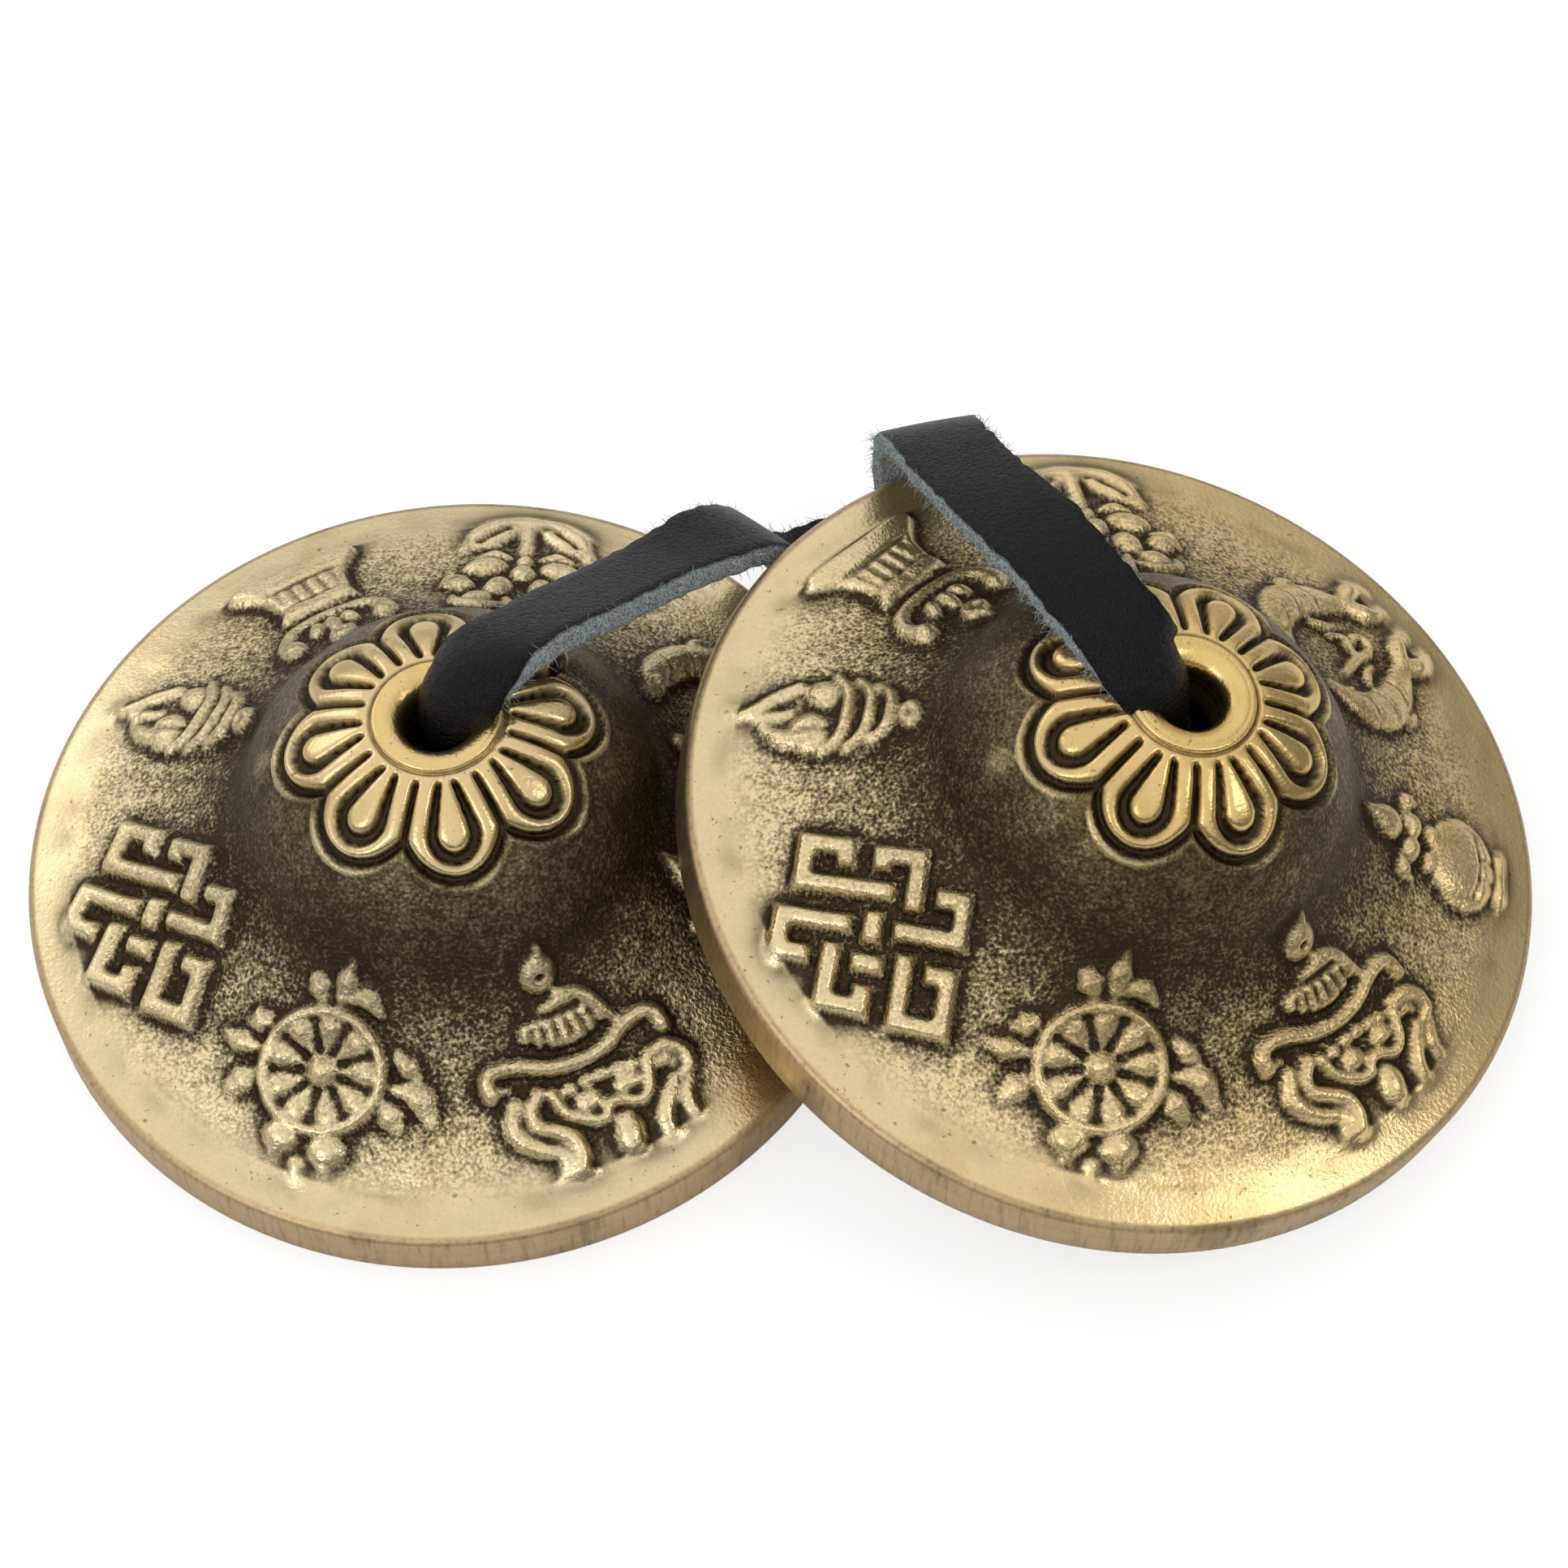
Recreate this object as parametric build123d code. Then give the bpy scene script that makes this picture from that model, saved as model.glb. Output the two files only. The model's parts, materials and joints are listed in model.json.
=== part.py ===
from build123d import *
import os
from math import atan2, cos, degrees, hypot, radians, sin, sqrt, tan

# Tingsha: two cast brass cymbals on one leather strap, knotted inside each dome.
# Millimetres, +Z up. The left cymbal lies flat on the ground plane, the right one
# leans on it. The origin is under the middle of the pair.

# Driving dimensions of one cymbal
CYMBAL_DIAMETER = 65.0
RIM_THICKNESS = 4.5
RIM_EDGE_RADIUS = 0.7
LIP_WIDTH = 3.5
LIP_RISE = 0.9
FOOT_RADIUS = 15.6
FOOT_HEIGHT = 12.6
FLARE_SAG = 1.0
DOME_HEIGHT = 23.0
DOME_BULGE = 2.2
COLLAR_RADIUS = 4.6
COLLAR_RISE = 0.6
HOLE_RADIUS = 2.9
HOLE_MOUTH_DROP = 0.5
SEAT_WIDTH = 5.0
SEAT_CHAMFER = 0.5
CEILING_THICKNESS = 4.6
CEILING_RADIUS = 5.5
DOME_WALL = 3.4
INNER_DOME_BULGE = 1.8
INNER_FOOT_HEIGHT = 9.0

# Cast relief: a lotus rosette on the dome and the eight auspicious symbols on the plate
SYMBOL_HEIGHT = 0.7
SYMBOL_RADIUS = 22.5
RELIEF_ROOT = 0.6
PETAL_COUNT = 8
PETAL_PHASE = -79.0
PETAL_CENTRE = 8.35
PETAL_RADIUS = 3.0
PETAL_RIDGE = 1.15
PETAL_RISE = 0.25
PETAL_GROOVE = 0.45
TEAR_CENTRE = 8.7
TEAR_RADIUS = 0.9
ROSETTE_ROOT = 5.2
PETAL_START = 4.8
ROSETTE_BORDER = 0.4

# Azimuth of each symbol on its cymbal
WHEEL_AZIMUTH = 250.8
ENDLESS_KNOT_AZIMUTH = 202.0
CONCH_AZIMUTH = 156.0
BANNER_AZIMUTH = 121.0
LOTUS_AZIMUTH = 80.0
FISH_AZIMUTH = 27.5
VASE_AZIMUTH = 339.3
PARASOL_AZIMUTH = 297.0

# How the pair lies
PAIR_SPACING = 48.5
RIGHT_TILT = 11.2
RIGHT_LEAN_AZIMUTH = -12.6
RIGHT_SPIN = 14.0

# Leather strap and its knots
STRAP_WIDTH = 7.0
STRAP_THICKNESS = 1.8
STRAP_ROLL = 12.0
NECK_CLEARANCE = 0.4
KNOT_RADIUS = 6.2
KNOT_HEIGHT = 8.0
KNOT_EDGE_RADIUS = 3.2
KNOT_GAP = 0.3
TAIL_LENGTH = 5.0
TAIL_LEAN = 25.0
MOUTH_GAP = 0.6
FOLD_GAP = 0.4
BEND_SHARE = 0.45
LEFT_STRAP_AZIMUTH = 47.0
RIGHT_STRAP_AZIMUTH = 126.0

cymbal_radius = CYMBAL_DIAMETER / 2
collar_top = DOME_HEIGHT + COLLAR_RISE
ceiling_height = DOME_HEIGHT - CEILING_THICKNESS
neck_radius = HOLE_RADIUS - NECK_CLEARANCE

# Corners of the cymbal's half section that the relief follows
lip = (cymbal_radius - LIP_WIDTH, RIM_THICKNESS + LIP_RISE)
foot = (FOOT_RADIUS, FOOT_HEIGHT)
shoulder = (COLLAR_RADIUS, DOME_HEIGHT)
plate_slope = (lip[0] - foot[0]) / hypot(lip[0] - foot[0], lip[1] - foot[1])

# The right cymbal's axis, and the shift that centres the pair on the origin
right_axis = Vector(
    sin(radians(RIGHT_TILT)) * cos(radians(RIGHT_LEAN_AZIMUTH)),
    sin(radians(RIGHT_TILT)) * sin(radians(RIGHT_LEAN_AZIMUTH)),
    cos(radians(RIGHT_TILT)),
)
right_reach = cymbal_radius * sqrt(1 - right_axis.X**2) + RIM_THICKNESS * right_axis.X
left_x = -(PAIR_SPACING + right_reach - cymbal_radius) / 2
right_base = Vector(left_x + PAIR_SPACING, 0, cymbal_radius * sin(radians(RIGHT_TILT)))


def bulged(start, end, sag):
    """Middle point of an arc from start to end, sag to the left of the chord."""
    chord = hypot(end[0] - start[0], end[1] - start[1])
    normal = (-(end[1] - start[1]) / chord, (end[0] - start[0]) / chord)
    middle = ((start[0] + end[0]) / 2, (start[1] + end[1]) / 2)
    return (middle[0] + sag * normal[0], middle[1] + sag * normal[1])


def cymbal_profile():
    """Half section of a cymbal, radius along X and height along Y."""
    rim_top = (cymbal_radius, RIM_THICKNESS)
    mouth = (HOLE_RADIUS, DOME_HEIGHT - HOLE_MOUTH_DROP)
    collar = ((COLLAR_RADIUS + HOLE_RADIUS) / 2, collar_top)
    ceiling_hole = (HOLE_RADIUS, ceiling_height)
    ceiling_edge = (CEILING_RADIUS, ceiling_height)
    inner_foot = (FOOT_RADIUS - DOME_WALL, INNER_FOOT_HEIGHT)
    seat = (cymbal_radius - SEAT_WIDTH, 0)
    bottom = (cymbal_radius - SEAT_CHAMFER, 0)
    rim_low = (cymbal_radius, SEAT_CHAMFER)
    with BuildSketch() as sketch:
        with BuildLine():
            Line(rim_low, rim_top)
            Line(rim_top, lip)
            ThreePointArc(lip, bulged(lip, foot, FLARE_SAG), foot)
            ThreePointArc(foot, bulged(foot, shoulder, -DOME_BULGE), shoulder)
            ThreePointArc(shoulder, collar, mouth)
            Line(mouth, ceiling_hole)
            Line(ceiling_hole, ceiling_edge)
            ThreePointArc(ceiling_edge, bulged(ceiling_edge, inner_foot, INNER_DOME_BULGE), inner_foot)
            Line(inner_foot, seat)
            Line(seat, bottom)
            Line(bottom, rim_low)
        make_face()
        corner = sketch.vertices().sort_by_distance((*rim_top, 0))[0]
        fillet(corner, RIM_EDGE_RADIUS)
    return sketch.sketch


def skin(start, end, sag, depth, rise):
    """Turned skin along the bulged arc from start to end, from depth under it to rise over it."""
    middle = bulged(start, end, sag)
    radius = (hypot(end[0] - start[0], end[1] - start[1]) ** 2 / 4 + sag**2) / (2 * sag)
    chord_middle = ((start[0] + end[0]) / 2, (start[1] + end[1]) / 2)
    centre = [m - (m - c) / sag * radius for m, c in zip(middle, chord_middle)]
    rings = []
    for offset in (rise, -depth):
        reach = (radius - offset) / radius
        rings.append([tuple(c + (p - c) * reach for p, c in zip(point, centre)) for point in (start, middle, end)])
    over, under = rings
    with BuildSketch() as sketch:
        with BuildLine():
            ThreePointArc(*over)
            Line(over[-1], under[-1])
            ThreePointArc(*reversed(under))
            Line(under[0], over[0])
        make_face()
    return revolve(Plane.XZ * sketch.sketch, Axis.Z)


def petal(centre, radius):
    """Outline of a petal: a round end far from the hole, drawn in to a point at the axis."""
    half_angle = radius / centre
    flank = sqrt(centre**2 - radius**2)
    side = (flank * sqrt(1 - half_angle**2), flank * half_angle)
    wedge = Polygon((0, 0), (side[0], -side[1]), side, align=None)
    return wedge + Pos(centre, 0) * Circle(radius)


def petal_turns(sketch):
    """A petal's sketch repeated round the hole."""
    step = 360 / PETAL_COUNT
    return Sketch() + [Rot(0, 0, PETAL_PHASE + step * k) * sketch for k in range(PETAL_COUNT)]


def with_rosette(body):
    """The dome with a scalloped recess in which hairpin petals and their tears stand."""
    recess = Circle(PETAL_CENTRE) + petal_turns(Pos(PETAL_CENTRE, 0) * Circle(PETAL_RADIUS + ROSETTE_BORDER))
    recess -= Circle(ROSETTE_ROOT)
    hairpin = petal(PETAL_CENTRE, PETAL_RADIUS) - petal(PETAL_CENTRE, PETAL_RADIUS - PETAL_RIDGE)
    ridges = petal_turns(hairpin + petal(TEAR_CENTRE, TEAR_RADIUS)) - Circle(PETAL_START)
    over = skin(foot, shoulder, -DOME_BULGE, PETAL_GROOVE, DOME_BULGE)
    ridge_skin = skin(foot, shoulder, -DOME_BULGE, PETAL_GROOVE + RELIEF_ROOT, PETAL_RISE)
    body -= extrude(recess, collar_top) & over
    return body + (extrude(ridges, collar_top) & ridge_skin)


def stroke(points, width):
    """Bands of even width with round ends, through points on the plate."""
    spots = [Vector(x, y * plate_slope) for x, y in points]
    bands = []
    for start, end in zip(spots, spots[1:]):
        run = end - start
        turn = Rot(0, 0, degrees(atan2(run.Y, run.X)))
        bands.append(Pos((start + end) / 2) * turn * SlotCenterToCenter(run.length, width))
    return bands


def square_band(points, width):
    """Bands of even width with square corners and flush ends, through points on the plate."""
    spots = [Vector(x, y * plate_slope) for x, y in points]
    last = len(spots) - 2
    bands = []
    for k, (start, end) in enumerate(zip(spots, spots[1:])):
        ahead = (end - start).normalized() * width / 2
        start = start if k == 0 else start - ahead
        end = end if k == last else end + ahead
        turn = Rot(0, 0, degrees(atan2(ahead.Y, ahead.X)))
        bands.append(Pos((start + end) / 2) * turn * Rectangle((end - start).length, width))
    return bands


def pad(x, y, half_width, half_height, lean=0):
    """A long round-ended pad on the plate, or a round one where its halves are equal."""
    long, short = max(half_width, half_height), min(half_width, half_height)
    shape = SlotOverall(2 * long, 2 * short) if long > short else Circle(long)
    upright = 90 if half_height > half_width else 0
    return Pos(x, y * plate_slope) * Rot(0, 0, lean + upright) * shape


def plate_polygon(points):
    """A cornered pad on the plate."""
    return Polygon(*[(x, y * plate_slope) for x, y in points], align=None)


def both_sides(x, y, points):
    """Points about a middle line, and the same mirrored."""
    return [[(x + side * u, y + v) for u, v in points] for side in (1, -1)]


def wheel():
    """Wheel with nine spokes, and tufts of flame on four sides."""
    x, y = -0.8, 0.5
    centre = Pos(x, y * plate_slope)
    shapes = [centre * (Circle(4.9) - Circle(3.9)), centre * Circle(1.2)]
    for k in range(9):
        shapes.append(centre * Rot(0, 0, 15 + 40 * k) * Pos(2.5, 0) * Rectangle(3.2, 0.8))
    shapes += stroke([(-2.2, 5.8), (-2.9, 6.9)], 1.4)
    shapes += stroke([(-0.8, 6.1), (-0.6, 8.4)], 1.3)
    shapes += stroke([(0.2, 6.1), (2.0, 5.8)], 1.3)
    shapes += stroke([(4.4, 3.1), (5.8, 2.5)], 1.2)
    shapes += stroke([(4.8, 0.9), (6.4, 1.0), (7.6, -0.2)], 1.5)
    shapes += stroke([(4.4, -0.5), (5.5, -1.5)], 1.4)
    shapes += stroke([(-2.0, -5.0), (-2.1, -6.0)], 1.9)
    shapes += stroke([(1.4, -5.0), (1.6, -6.1)], 1.9)
    shapes += stroke([(-6.1, 2.9), (-6.9, 2.5)], 1.5)
    shapes += stroke([(-6.1, 0.8), (-8.5, 1.1)], 1.2)
    shapes += stroke([(-5.8, -1.2), (-6.7, -2.3)], 1.5)
    return shapes


def endless_knot():
    """Endless knot: three bands each way, woven over and under, with square loops."""
    near, far = 2.7, 5.9
    gap = 1.2
    runs = (
        [(-near, near + gap), (-near, far), (-far, far), (-far, near), (near - gap, near)],
        [(0, near + gap), (0, far), (near, far), (near, gap)],
        [(near + gap, near), (far, near), (far, 0), (gap, 0)],
        [(0, near - gap), (0, gap - near)],
        [(-gap, 0), (-far, 0), (-far, -near), (-near - gap, -near)],
        [(-near, -gap), (-near, -far), (0, -far), (0, -near - gap)],
        [(gap - near, -near), (near - gap, -near)],
        [(near, -gap), (near, -far), (far, -far), (far, -near), (near + gap, -near)],
    )
    shapes = []
    for run in runs:
        turned = [((u - v) / sqrt(2) - 0.75, (u + v) / sqrt(2) - 0.45) for u, v in run]
        shapes += square_band(turned, 1.6)
    return shapes


def parasol():
    """Parasol: a domed canopy with a finial, a valance, ribbons and a drop."""
    shapes = [pad(0.2, 3.6, 3.5, 1.9), pad(-0.1, 7.9, 1.2, 1.6), pad(1.6, -5.7, 1.2, 1.7)]
    shapes += stroke([(-6.3, 1.4), (-5.3, 2.3), (-2.0, 1.0), (0.3, 0.6), (2.5, 0.9), (5.2, 2.3), (6.7, 1.4)], 1.1)
    shapes += stroke([(-2.4, -1.2), (-1.8, -2.8), (0.0, -3.9), (1.3, -3.2), (3.3, -3.8), (4.8, -1.2)], 0.9)
    shapes += stroke([(-3.4, -0.6), (-4.3, -2.2), (-2.4, -4.4), (-2.6, -6.8)], 1.1)
    shapes += stroke([(-5.2, -0.6), (-5.9, -2.4), (-3.9, -4.9), (-3.6, -6.6)], 1.1)
    shapes += stroke([(5.0, -0.9), (7.2, -1.1), (7.4, -3.0)], 1.0)
    shapes += stroke([(6.2, -3.3), (4.8, -4.9), (4.4, -7.0)], 1.1)
    return shapes


def conch():
    """Conch: a coiled spire, a swollen body and a long canal."""
    shapes = [pad(0.3, 7.0, 1.5, 1.8, -35), pad(1.2, -0.1, 2.2, 1.8, 20), pad(-3.0, 0.3, 0.9, 1.4)]
    shapes.append(plate_polygon([(-3.8, 3.9), (-0.4, 3.5), (3.4, 5.6), (3.8, 1.6), (-0.2, 1.6), (-3.4, 2.4)]))
    shapes += stroke([(-2.9, 5.2), (-1.2, 4.7), (1.2, 5.4), (2.7, 7.2)], 1.0)
    shapes += stroke([(-2.2, -1.9), (-0.6, -4.3), (1.0, -6.4)], 1.3)
    shapes += stroke([(0.6, -2.7), (1.4, -4.2), (1.6, -5.6)], 1.4)
    return shapes


def victory_banner():
    """Victory banner: a flared skirt, a crescent with round horns, a tuft and a ring."""
    right = [(3.1, 0.2), (3.1, -1.7), (3.8, -3.7), (5.5, -5.6), (4.7, -6.8)]
    shapes = [plate_polygon([(0.2 + x, y) for x, y in right] + [(0.2 - x, y) for x, y in reversed(right)])]
    shapes += stroke([(-3.7, 4.6), (-3.5, 2.4), (0.2, 0.9), (3.9, 2.4), (4.1, 4.6)], 1.3)
    shapes += [pad(-3.6, 4.8, 1.1, 1.1), pad(4.0, 4.8, 1.1, 1.1)]
    shapes += [pad(x, 3.3, 0.6, 1.2) for x in (-1.2, 0.2, 1.6)]
    shapes.append(Pos(0.3, 6.4 * plate_slope) * (Circle(1.2) - Circle(0.4)))
    return shapes


def lotus():
    """Lotus: a seed head between paired petals and leaves on a short stem."""
    x, y = 0.4, -1.0
    shapes = [pad(x, y, 1.0, 1.0), pad(x, y - 2.0, 0.7, 0.7)]
    shapes += stroke([(x + 0.4, y - 3.4), (x + 1.0, y - 7.0)], 1.3)
    for side in (1, -1):
        shapes.append(pad(x + side * 3.0, y - 0.7, 1.9, 1.1, side * 15))
        shapes.append(pad(x + side * 1.75, y + 2.5, 1.0, 1.4, -side * 15))
        shapes.append(pad(x + side * 4.7, y + 2.2, 1.2, 1.0))
        shapes.append(pad(x + side * 3.2, y + 4.9, 1.6, 0.9, side * 35))
    for leaf in both_sides(x, y, [(1.2, -6.6), (4.6, -3.6)]):
        shapes += stroke(leaf, 2.2)
    for curl in both_sides(x, y, [(4.9, 4.8), (3.6, 6.7), (1.2, 5.8), (0.6, 7.2)]):
        shapes += stroke(curl, 1.0)
    return shapes


def golden_fishes():
    """Two fishes, their bodies curved round a curl of water, tails outward."""
    shapes = []
    for body in both_sides(-0.2, -0.6, [(2.8, 6.0), (5.0, 3.6), (5.2, -0.6), (3.6, -3.8)]):
        shapes += stroke(body, 2.3)
    for tail in both_sides(-0.2, -0.6, [(1.4, -6.8), (3.4, -4.0), (3.9, -6.8)]):
        shapes += stroke(tail, 1.2)
    shapes += stroke([(-2.0, 2.0), (-1.3, -2.4), (0.0, -3.3), (0.4, -2.2)], 0.9)
    return shapes


def treasure_vase():
    """Treasure vase: a round body on a foot, a neck, a winged collar and a jewel for a lid."""
    x = 1.3
    shapes = [pad(x, -3.5, 3.8, 2.9), pad(x, 4.8, 1.3, 1.7), pad(x, 1.7, 2.1, 0.8)]
    shapes += stroke([(x - 1.6, -7.1), (x + 1.6, -7.1)], 1.0)
    shapes += stroke([(x - 1.3, -0.2), (x + 1.3, -0.2)], 1.0)
    for wing in both_sides(x, 0, [(1.7, 2.5), (3.1, 1.6)]):
        shapes += stroke(wing, 1.3)
    shapes += stroke([(x, 5.6), (x, 7.2)], 0.9)
    return shapes


SYMBOLS = (
    (wheel, WHEEL_AZIMUTH),
    (endless_knot, ENDLESS_KNOT_AZIMUTH),
    (conch, CONCH_AZIMUTH),
    (victory_banner, BANNER_AZIMUTH),
    (lotus, LOTUS_AZIMUTH),
    (golden_fishes, FISH_AZIMUTH),
    (treasure_vase, VASE_AZIMUTH),
    (parasol, PARASOL_AZIMUTH),
)


def with_symbols(body):
    """The plate with the eight symbols standing out of it, their tops towards the dome."""
    symbol_skin = skin(lip, foot, FLARE_SAG, RELIEF_ROOT, SYMBOL_HEIGHT)
    for draw, azimuth in SYMBOLS:
        turn = radians(azimuth)
        place = Plane(
            Vector(SYMBOL_RADIUS * cos(turn), SYMBOL_RADIUS * sin(turn), 0),
            x_dir=(-sin(turn), cos(turn), 0),
            z_dir=(0, 0, 1),
        )
        body += extrude(place * (Sketch() + draw()), DOME_HEIGHT) & symbol_skin
    return body


def cymbal():
    """One cymbal on its own axis, its seat on the ground plane."""
    return with_symbols(with_rosette(revolve(Plane.XZ * cymbal_profile(), Axis.Z)))


def knot():
    """Overhand knot drawn up under the dome, with its neck through the hole and a cut tail."""
    knot_top = ceiling_height - KNOT_GAP
    lump = Pos(0, 0, knot_top - KNOT_HEIGHT / 2) * Cylinder(KNOT_RADIUS, KNOT_HEIGHT)
    lump = fillet(lump.edges().filter_by(GeomType.CIRCLE), KNOT_EDGE_RADIUS)
    neck_length = collar_top + MOUTH_GAP - knot_top
    neck = Pos(0, 0, knot_top + neck_length / 2) * Cylinder(neck_radius, neck_length)
    tail = Pos(0, 0, -TAIL_LENGTH / 2) * Box(STRAP_WIDTH, STRAP_THICKNESS, TAIL_LENGTH)
    tail = Pos(0, 0, knot_top - KNOT_HEIGHT + STRAP_THICKNESS) * Rot(TAIL_LEAN, 0, 0) * tail
    return lump + neck + tail


def corner_radii(points):
    """Largest even arc that each corner's two runs leave room for."""
    radii = []
    for before, here, after in zip(points, points[1:], points[2:]):
        run_in = here - before
        run_out = after - here
        half_turn = radians(run_in.get_angle(run_out)) / 2
        radii.append(BEND_SHARE * min(run_in.length, run_out.length) / tan(half_turn))
    return radii


def swept(name, points, section):
    """A length of strap along straight runs joined by arcs; prints its radii and volumes."""
    radii = corner_radii(points)
    path = FilletPolyline(*points, radius=radii)
    solid = sweep(section, path=path)
    print(name, "radii", [round(r, 1) for r in radii], "length", round(path.length, 1))
    print(name, "volume", round(solid.volume, 1), "section times length", round(section.area * path.length, 1))
    return solid


def lofted(name, points, azimuths, start):
    """A flat length of strap through points, its width turning through azimuths; prints its volumes.

    Its first end lies square to the heading start and its last end square to a level width.
    """
    headings = [start]
    headings += [after - before for before, after in zip(points, points[2:])]
    last_width = Vector(cos(radians(azimuths[-1])), sin(radians(azimuths[-1])), 0)
    last_run = points[-1] - points[-2]
    headings.append(last_run - last_width * last_run.dot(last_width))
    sections = []
    for point, heading, azimuth in zip(points, headings, azimuths):
        across = Vector(cos(radians(azimuth)), sin(radians(azimuth)), 0)
        face_normal = across.cross(heading)
        place = Plane(point, x_dir=heading.cross(face_normal), z_dir=heading)
        sections.append(place * Rectangle(STRAP_WIDTH, STRAP_THICKNESS))
    solid = loft(sections)
    length = sum((after - before).length for before, after in zip(points, points[1:]))
    area = STRAP_WIDTH * STRAP_THICKNESS
    print(name, "volume", round(solid.volume, 1), "section times length", round(area * length, 1))
    return solid


def strap_section(points, roll):
    """Flat section of the strap at its first point, its width level but for the roll."""
    heading = (points[1] - points[0]).normalized()
    across = Vector(heading.Y, -heading.X, 0).normalized().rotate(Axis((0, 0, 0), heading), roll)
    return Plane(points[0], x_dir=across, z_dir=heading) * Rectangle(STRAP_WIDTH, STRAP_THICKNESS)


def in_upright_plane(foot, azimuth, pairs):
    """Points of an upright plane through foot, from distances out and heights."""
    out = Vector(cos(radians(azimuth)), sin(radians(azimuth)), 0)
    return [Vector(foot.X, foot.Y, height) + out * distance for distance, height in pairs]


left_base = Vector(left_x, 0, 0)
left_mouth = left_base + Vector(0, 0, collar_top)
right_mouth = right_base + right_axis * collar_top

# Strap from the left hole, over the dome and plate and down past the right cymbal's rim
left_points = in_upright_plane(
    left_base,
    LEFT_STRAP_AZIMUTH,
    [
        (0.5, collar_top + 2.2),
        (3.6, collar_top + 2.9),
        (9.8, collar_top + 1.2),
        (17.6, collar_top - 2.4),
        (24.4, collar_top - 6.3),
        (30.0, collar_top - 10.6),
        (34.6, collar_top - 16.4),
    ],
)
strap_left = swept("strap_left", left_points, strap_section(left_points, -STRAP_ROLL))

# Strap from the right hole, over the dome to the fold above the back of the rim
right_points = in_upright_plane(
    right_mouth,
    RIGHT_STRAP_AZIMUTH,
    [
        (0.3, right_mouth.Z + 1.8),
        (3.4, right_mouth.Z + 2.9),
        (8.6, right_mouth.Z + 2.8),
        (14.5, right_mouth.Z + 1.4),
        (21.4, right_mouth.Z - 1.2),
        (27.8, right_mouth.Z - 4.4),
        (31.4, right_mouth.Z - 6.6),
    ],
)
strap_right = swept("strap_right", right_points, strap_section(right_points, 0))

# Bight of the strap behind both rims: down to the ground, round and up to the fold
fold = right_points[-1] + (right_points[-1] - right_points[-2]).normalized() * FOLD_GAP
loop_points = [
    left_points[-1],
    left_points[-1] + Vector(2.1, 2.4, -3.6),
    left_points[-1] + Vector(5.2, 4.9, -5.4),
    left_points[-1] + Vector(8.6, 6.2, -4.2),
    left_points[-1] + Vector(10.4, 6.1, -0.6),
    left_points[-1] + Vector(10.8, 5.6, 3.4),
    left_points[-1] + Vector(10.8, 4.9, 7.4),
    left_points[-1] + Vector(10.7, 3.1, 11.4),
    fold + Vector(-0.3, 0.9, -0.9),
]
left_across = LEFT_STRAP_AZIMUTH - 90
right_across = RIGHT_STRAP_AZIMUTH - 270
loop_turn = [0, 0.05, 0.2, 0.5, 0.85, 1, 1, 1, 1]
loop_azimuths = [left_across + (right_across - left_across) * share for share in loop_turn]
strap_loop = lofted("strap_loop", loop_points, loop_azimuths, left_points[-1] - left_points[-2])

left_place = Pos(left_x, 0, 0)
lean_out = Vector(right_axis.Z, 0, -right_axis.X).normalized()
right_place = Plane(right_base, x_dir=lean_out, z_dir=right_axis).location * Rot(0, 0, RIGHT_SPIN)
cast_cymbal = cymbal()

nodes = {
    "left_cymbal": left_place * cast_cymbal,
    "right_cymbal": right_place * cast_cymbal,
    "left_knot": left_place * Rot(0, 0, LEFT_STRAP_AZIMUTH - 90) * knot(),
    "right_knot": right_place * knot(),
    "strap_left": strap_left,
    "strap_right": strap_right,
    "strap_loop": strap_loop,
}

os.makedirs("parts", exist_ok=True)
for name, shape in nodes.items():
    export_step(shape, f"parts/{name}.step")

print("left mouth", left_mouth, "right mouth", right_mouth, "right axis", right_axis)
print("fold", fold, "right base", right_base)
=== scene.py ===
"""Tingsha: two cast brass cymbals with a lotus rosette and eight symbols, on one leather strap."""
import json
import math

import bpy
import numpy as np
from mathutils import Matrix, Vector


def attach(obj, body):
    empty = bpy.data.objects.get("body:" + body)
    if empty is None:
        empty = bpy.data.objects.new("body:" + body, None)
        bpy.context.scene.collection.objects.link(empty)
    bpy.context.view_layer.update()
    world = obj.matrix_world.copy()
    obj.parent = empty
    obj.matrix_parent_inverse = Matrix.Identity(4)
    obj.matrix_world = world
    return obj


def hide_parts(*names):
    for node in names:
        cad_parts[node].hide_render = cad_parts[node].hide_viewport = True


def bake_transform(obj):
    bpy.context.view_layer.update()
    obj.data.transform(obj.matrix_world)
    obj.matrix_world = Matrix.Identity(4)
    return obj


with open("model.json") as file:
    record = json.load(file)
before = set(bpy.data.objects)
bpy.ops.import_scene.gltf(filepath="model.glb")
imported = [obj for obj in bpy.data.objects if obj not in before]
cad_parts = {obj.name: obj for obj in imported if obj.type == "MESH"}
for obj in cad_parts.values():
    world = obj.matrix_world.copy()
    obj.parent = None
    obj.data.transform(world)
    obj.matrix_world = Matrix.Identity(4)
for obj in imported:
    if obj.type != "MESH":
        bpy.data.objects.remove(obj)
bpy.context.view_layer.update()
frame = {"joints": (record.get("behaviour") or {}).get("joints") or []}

bl_info = {
    "name": "Tingsha cymbals",
    "version": (1, 0, 0),
    "blender": (4, 5, 0),
    "location": "View3D > Sidebar > Tingsha",
    "description": "Casts a pair of relief cymbals and threads the leather strap that joins them",
    "category": "Object",
}

MM = 0.001
JOINTS = {joint["name"]: joint for joint in frame["joints"]}
LEFT_MOUTH = Vector(JOINTS["left_spin"]["pos_m"])
RIGHT_MOUTH = Vector(JOINTS["right_spin"]["pos_m"])
RIGHT_AXIS = Vector(JOINTS["right_spin"]["axis"]).normalized()
COLLAR_TOP = LEFT_MOUTH.z

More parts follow.
